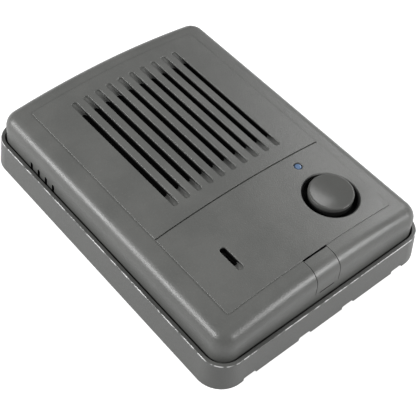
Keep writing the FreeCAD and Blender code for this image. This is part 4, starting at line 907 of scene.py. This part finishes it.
class INTERCOM_OT_speaker(bpy.types.Operator):
    """Finish the speaker and its clips, and hang its cloth, foam and leads"""

    bl_idname = "intercom.speaker"
    bl_label = "Dress the speaker"

    def execute(self, context):
        dress(pulp("Cone paper", (0.03, 0.029, 0.027)), "speaker_cone")
        dress(pulp("Cap paper", grey(0.018)), "speaker_dust_cap")
        dress(moulded("Surround rubber", grey(0.013), 0.5, 0.15 * MM, 0.15), "speaker_surround")
        dress(woven("Spider cloth", (0.42, 0.27, 0.1), 0.35 * MM), "speaker_spider")
        dress(winding("Coil copper", (0.55, 0.2, 0.08), 0.16 * MM), "voice_coil")
        dress(metal("Basket steel", grey(0.5), 0.32, (1.0, 0.3, 1.0)), "speaker_frame")
        plates = metal("Magnet plate steel", (0.56, 0.54, 0.46), 0.3)
        dress(plates, "speaker_top_plate", "speaker_back_plate")
        ferrite = moulded("Ferrite", (0.028, 0.028, 0.03), 0.55, 0.25 * MM, 0.3, sparkle=0.5)
        dress(ferrite, "speaker_magnet")
        dress(metal("Clip zinc", (0.58, 0.57, 0.54), 0.3, (0.2, 1.0, 1.0)), "speaker_clips")
        strip = moulded("Tag strip brown", (0.16, 0.075, 0.03), 0.5, 0.3 * MM, 0.2)
        dress(tin_beyond(strip, "Y", 0.0, 9.04), "speaker_tags")
        self.cloth(woven("Grille cloth", grey(0.006), 0.42 * MM))
        self.foam_ring(foam("Black foam", grey(0.016), 0.5 * MM))
        self.leads()
        return {"FINISHED"}

    def cloth(self, material):
        """Black cloth stretched behind the grille, with round corners and the cover's crown."""
        width, height, corner = 53.2, 51.2, 3.6
        begin()
        bpy.ops.mesh.primitive_grid_add(x_subdivisions=52, y_subdivisions=50, size=1.0)
        cloth = bpy.context.object
        cloth.scale = (width, height, 1.0)
        settle(cloth)
        for vert in cloth.data.vertices:
            x, y = vert.co.x, vert.co.y
            beyond = Vector((abs(x) - width / 2 + corner, abs(y) - height / 2 + corner))
            if min(beyond) > 0:
                kept = beyond * (max(beyond) / beyond.length)
                x = math.copysign(width / 2 - corner + kept.x, x)
                y = math.copysign(height / 2 - corner + kept.y, y)
            x += SPEAKER[0]
            vert.co = Vector((x, y + SPEAKER[1], crowned(x, 2.03))) * MM
        apply_modifier(cloth, "SOLIDIFY", thickness=0.22 * MM, offset=-1.0)
        complete(cloth, "grille_cloth", material, "dust_screen", angle=60.0)

    def foam_ring(self, material):
        """The gasket's own shape, with the corners rounded as cut foam rounds them."""
        mesh = bpy.data.objects["speaker_gasket"].data.copy()
        ring = bpy.data.objects.new("foam_gasket", mesh)
        bpy.context.scene.collection.objects.link(ring)
        open_up(ring)
        bpy.ops.mesh.remove_doubles(threshold=0.001 * MM)
        bpy.ops.mesh.dissolve_limited(angle_limit=math.radians(2.0))
        begin()
        soften(ring, 0.3, 3)
        complete(ring, "foam_gasket", material, "speaker_gasket")

    def leads(self):
        """Two insulated leads with stripped ends, from the tags down through the board."""
        red = moulded("Red insulation", (0.4, 0.02, 0.015), 0.4, 0.2 * MM, 0.05)
        black = moulded("Black insulation", grey(0.013), 0.4, 0.2 * MM, 0.05)
        plus, minus = [self.lead(x) for x in LEADS]
        complete(plus, "speaker_lead_plus", red, "speaker_leads")
        complete(minus, "speaker_lead_minus", black, "speaker_leads")

    def lead(self, x):
        """One lead, drawn out from its stripped end, turned down and drawn on into its hole."""
        bare, covered = 0.28, 0.5
        level, start, corner, bend, tip = 18.01, -9.54, -16.0, 1.2, 10.8
        stripped = 0.9
        skin_end = BOARD_FRONT + 0.5
        grow = covered / bare
        wire = hoop(16, bare, (x, start, level), rotation=UPRIGHT)
        open_up(wire)
        draw_out(0, -stripped, 0)
        draw_out(0, 0, 0)
        swell((grow, 1.0, grow), (x, 0, level))
        draw_out(0, corner - start + stripped, 0)
        bpy.ops.mesh.spin(steps=8, angle=math.pi / 2, center=metres(x, corner, level - bend),
                          axis=(1, 0, 0))
        draw_out(0, 0, skin_end - level + bend)
        draw_out(0, 0, 0)
        swell((bare / covered, bare / covered, 1.0), (x, corner - bend, 0))
        draw_out(0, 0, tip - skin_end)
        begin()
        return wire


class INTERCOM_OT_electronics(bpy.types.Operator):
    """Finish the circuit board and its parts, and solder them"""

    bl_idname = "intercom.electronics"
    bl_label = "Dress the electronics"

    def execute(self, context):
        board = circuit("Board green", (0.012, 0.07, 0.03), (0.03, 0.14, 0.06), 1.27 * MM)
        dress(board, "circuit_board")
        terminals = moulded("Terminal green", (0.02, 0.17, 0.06), 0.35, 0.3 * MM, 0.1)
        dress(tin_beyond(terminals, "Z", 0.0, 11.62), "terminal_block")
        dress(metal("Tinned brass", (0.62, 0.56, 0.4), 0.3, (0.2, 1.0, 1.0)), "terminal_screws")
        chip = moulded("Chip black", (0.012, 0.012, 0.013), 0.5, 0.12 * MM, 0.15)
        dress(tin_beyond(chip, "Y", -42.0, 2.12), "amplifier_chip")
        dress(metal("Capacitor can", (0.66, 0.66, 0.67), 0.26, (1.0, 1.0, 0.15)), "capacitors")
        dress(metal("Microphone can", grey(0.6), 0.3), "microphone_capsule")
        dress(moulded("Boot rubber", grey(0.014), 0.6, 0.2 * MM, 0.2), "microphone_boot")
        self.microphone_felt(woven("Felt black", grey(0.01), 0.25 * MM))
        self.chip_resistors()
        self.solder(metal("Solder", (0.62, 0.62, 0.6), 0.22, tarnish=0.3),
                    context.scene.intercom_parts.solder_height / MM)
        self.clamps(metal("Clamp zinc", (0.55, 0.54, 0.5), 0.35, (1.0, 0.2, 1.0)))
        return {"FINISHED"}

    def microphone_felt(self, material):
        """Strip of felt with round ends in the slot of the microphone's boot."""
        felt = hoop(32, 0.85, (*MICROPHONE, 21.8), fill_type="NGON")
        settle(felt)
        middle = MICROPHONE[1]
        for side in (-1, 1):
            choose(felt, "verts", lambda vert: (vert.co.y - middle * MM) * side > 0.001 * MM)
            bpy.ops.transform.translate(value=metres(0, side * 2.85, 0))
        choose(felt, "faces", lambda face: True)
        draw_out(0, 0, 0.45)
        begin()
        soften(felt, 0.12)
        complete(felt, "microphone_felt", material)

    def chip_resistors(self):
        """Small flat resistors: a dark body between two tinned ends."""
        end = 1.1
        chip = block((3.2, 1.6, 0.6), (0, 0, 0.3))
        for mark in (-end, end):
            open_up(chip)
            bpy.ops.mesh.bisect(plane_co=metres(mark, 0, 0), plane_no=(1, 0, 0))
        choose(chip, "faces", lambda face: face.normal.z > 0.9
               and abs(face.calc_center_median().x) < 1.0 * MM)
        bpy.ops.mesh.inset(thickness=0.08 * MM, depth=-0.06 * MM)
        begin()
        soften(chip, 0.05)
        chip.data.materials.append(
            moulded("Resistor black", (0.014, 0.014, 0.016), 0.4, 0.12 * MM, 0.1))
        chip.data.materials.append(metal("Resistor ends", (0.6, 0.6, 0.58), 0.3))
        for face in chip.data.polygons:
            face.material_index = int(abs(face.center.x) > (end - 0.02) * MM)
        spots = [(-33.0, -27.0), (-33.0, -30.5), (-9.0, -21.5), (-4.0, -21.5), (9.0, -25.0),
                 (9.0, -28.5)]
        row = repeat(chip, spots, BOARD_FRONT)
        complete(row, "chip_resistors", None, "resistors")

    def solder(self, material, height):
        """Solder cones round every pin, behind the board or before it."""
        profile = [(0.8, 0.0), (0.74, 0.12), (0.5, 0.3 * height), (0.38, 0.7 * height),
                   (0.34, height)]
        rows = {-22.9: (21.2, 23.0), MICROPHONE[1]: (-23.87, -21.33),
                -31.0: (-7.2, -4.8, 1.3, 3.7), -17.2: LEADS}
        spots = corners_about(BUTTON, 2.3, 2.3) + [(x, y) for y in rows for x in rows[y]]
        back = repeat(turned(profile, 20), spots, BOARD_BACK, flip=True)
        front = repeat(turned(profile, 20), [(x, -23.0) for x in TERMINALS], BOARD_FRONT)
        complete(join([back, front]), "solder_joints", material)

    def clamps(self, material):
        """Folded clamp in the mouth of each terminal."""
        clamp = block((2.8, 3.6, 2.8))
        choose(clamp, "faces", lambda face: face.normal.y > 0.9)
        bpy.ops.mesh.inset(thickness=0.35 * MM, depth=0.0)
        draw_out(0, -3.2, 0)
        begin()
        soften(clamp, 0.08)
        row = repeat(clamp, [(x, -21.2) for x in TERMINALS], 8.5)
        complete(row, "terminal_clamps", material)


class INTERCOM_OT_fasteners(bpy.types.Operator):
    """Cut the screws with their threads and cross recesses"""

    bl_idname = "intercom.fasteners"
    bl_label = "Make the screws"

    def execute(self, context):
        pitch = context.scene.intercom_parts.thread_pitch / MM
        zinc = metal("Zinc plating", (0.58, 0.58, 0.55), 0.27)
        cover = repeat(pan_screw(1.5, 8.0, 2.7, 2.0, pitch), [COVER_SCREW], CUP_FLOOR)
        complete(cover, "cover_fixing_screw", zinc, "cover_screw")
        spots = corners_about((0.0, -33.0), 35.5, 14.5)
        board = repeat(pan_screw(1.3, 8.0, 2.4, 1.6, pitch), spots, BOARD_BACK, flip=True)
        complete(board, "board_fixing_screws", zinc, "board_screws")
        x, y = SPEAKER
        spots = [(x + 31.6, y), (x, y + 31.6), (x - 31.6, y), (x, y - 31.6)]
        clips = repeat(pan_screw(1.1, 3.6, 2.1, 1.3, 0.8 * pitch), spots, CLIP_FACE, flip=True)
        complete(clips, "speaker_clip_screws", zinc, "clip_screws")
        return {"FINISHED"}


class INTERCOM_OT_stage(bpy.types.Operator):
    """Lay the pale floor, light it softly and stand the camera at the photograph's angle"""

    bl_idname = "intercom.stage"
    bl_label = "Set the stage"

    def execute(self, context):
        settings = context.scene.intercom_stage
        self.floor(settings)
        self.light(context, settings)
        self.camera(context, settings)
        context.scene.view_settings.view_transform = "Standard"
        for tree in [made.node_tree for made in bpy.data.materials] + [*bpy.data.node_groups]:
            if tree is not None:
                lay_out(tree)
        return {"FINISHED"}

    def floor(self, settings):
        """Pale floor, seen as near white, and not seen from below."""
        begin()
        bpy.ops.mesh.primitive_plane_add(size=settings.floor_size, location=metres(0, 0, -0.2))
        floor = bpy.context.object
        floor.name = "floor"
        made, _ = start_material("Pale floor")
        shader = principled(made)
        rays = node(shader, "ShaderNodeLightPath").outputs
        seen = maths("ADD", scaled(rays["Is Glossy Ray"], 0.6, rays["Is Camera Ray"]),
                     rays["Is Transmission Ray"])
        below = node(shader, "ShaderNodeNewGeometry").outputs["Backfacing"]
        clear = highest(below, rays["Is Diffuse Ray"], rays["Is Shadow Ray"])
        fill(shader, Base_Color=settings.floor_colour, Roughness=0.9, Specular_IOR_Level=0.1,
             Emission_Color=WHITE, Emission_Strength=times(seen, settings.floor_glow),
             Alpha=maths("SUBTRACT", 1.0, clear))
        floor.data.materials.append(made)

    def light(self, context, settings):
        """Even light from all round, and three softboxes."""
        world = bpy.data.worlds.new("Soft studio")
        context.scene.world = world
        world.use_nodes = True
        background = world.node_tree.nodes["Background"]
        seen = node(background, "ShaderNodeLightPath").outputs["Is Camera Ray"]
        strength = spread(seen, 0.0, 1.0, settings.fill_strength, settings.floor_glow)
        fill(background, Color=WHITE, Strength=strength)
        lay_out(world.node_tree)
        self.softbox("left softbox", (-0.71, 0.38, 0.40), (0, 1, 0), (0.6, 0.16), 8.2)
        self.softbox("front softbox", (0.45, -0.77, 0.45), (1, 0, 0), (0.5, 0.24), 6.0)
        self.softbox("right softbox", (0.78, 0.16, 0.61), (0, 1, 0), (0.5, 0.3), 2.6)

    def softbox(self, name, direction, along, size, power, distance=0.9):
        """Area light that faces the station, its first side along a given way."""
        away = Vector(direction).normalized()
        side = Vector(along)
        side = (side - away * away.dot(side)).normalized()
        turn = Matrix((side, away.cross(side), away)).transposed()
        begin()
        bpy.ops.object.light_add(type="AREA", location=away * distance, rotation=turn.to_euler())
        lamp = bpy.context.object
        lamp.name = name
        lamp.data.shape = "RECTANGLE"
        lamp.data.size, lamp.data.size_y = size
        lamp.data.energy = power

    def camera(self, context, settings):
        right = Vector(settings.camera_right).normalized()
        up = Vector(settings.camera_up).normalized()
        back = right.cross(up).normalized()
        turn = Matrix((right, back.cross(right), back)).transposed()
        begin()
        bpy.ops.object.camera_add(location=settings.camera_place, rotation=turn.to_euler())
        camera = bpy.context.object
        camera.name = "photograph camera"
        camera.data.lens = settings.lens
        camera.data.sensor_width = 36.0
        camera.data.clip_start = 0.01
        context.scene.camera = camera


class INTERCOM_PT_panel(bpy.types.Panel):
    """Lists the steps that dress the station"""

    bl_idname = "INTERCOM_PT_panel"
    bl_label = "Intercom station"
    bl_space_type = "VIEW_3D"
    bl_region_type = "UI"
    bl_category = "Intercom"

    def draw(self, context):
        for name in SETTINGS:
            settings = getattr(context.scene, name)
            box = self.layout.box()
            for entry in settings.__annotations__:
                box.prop(settings, entry)
        for operator in OPERATORS:
            self.layout.operator(operator.bl_idname)


SETTINGS = {"intercom_finish": IntercomFinish, "intercom_parts": IntercomParts,
            "intercom_stage": IntercomStage}
OPERATORS = (INTERCOM_OT_housing, INTERCOM_OT_button, INTERCOM_OT_indicator, INTERCOM_OT_speaker,
             INTERCOM_OT_electronics, INTERCOM_OT_fasteners, INTERCOM_OT_stage)
CLASSES = (*SETTINGS.values(), *OPERATORS, INTERCOM_PT_panel)


def register():
    for cls in CLASSES:
        bpy.utils.register_class(cls)
    for name, kind in SETTINGS.items():
        setattr(bpy.types.Scene, name, bpy.props.PointerProperty(type=kind))


def unregister():
    for name in SETTINGS:
        delattr(bpy.types.Scene, name)
    for cls in reversed(CLASSES):
        bpy.utils.unregister_class(cls)


def main():
    register()
    bpy.ops.intercom.housing()
    bpy.ops.intercom.button()
    bpy.ops.intercom.indicator()
    bpy.ops.intercom.speaker()
    bpy.ops.intercom.electronics()
    bpy.ops.intercom.fasteners()
    bpy.ops.intercom.stage()


if __name__ == "__main__":
    main()
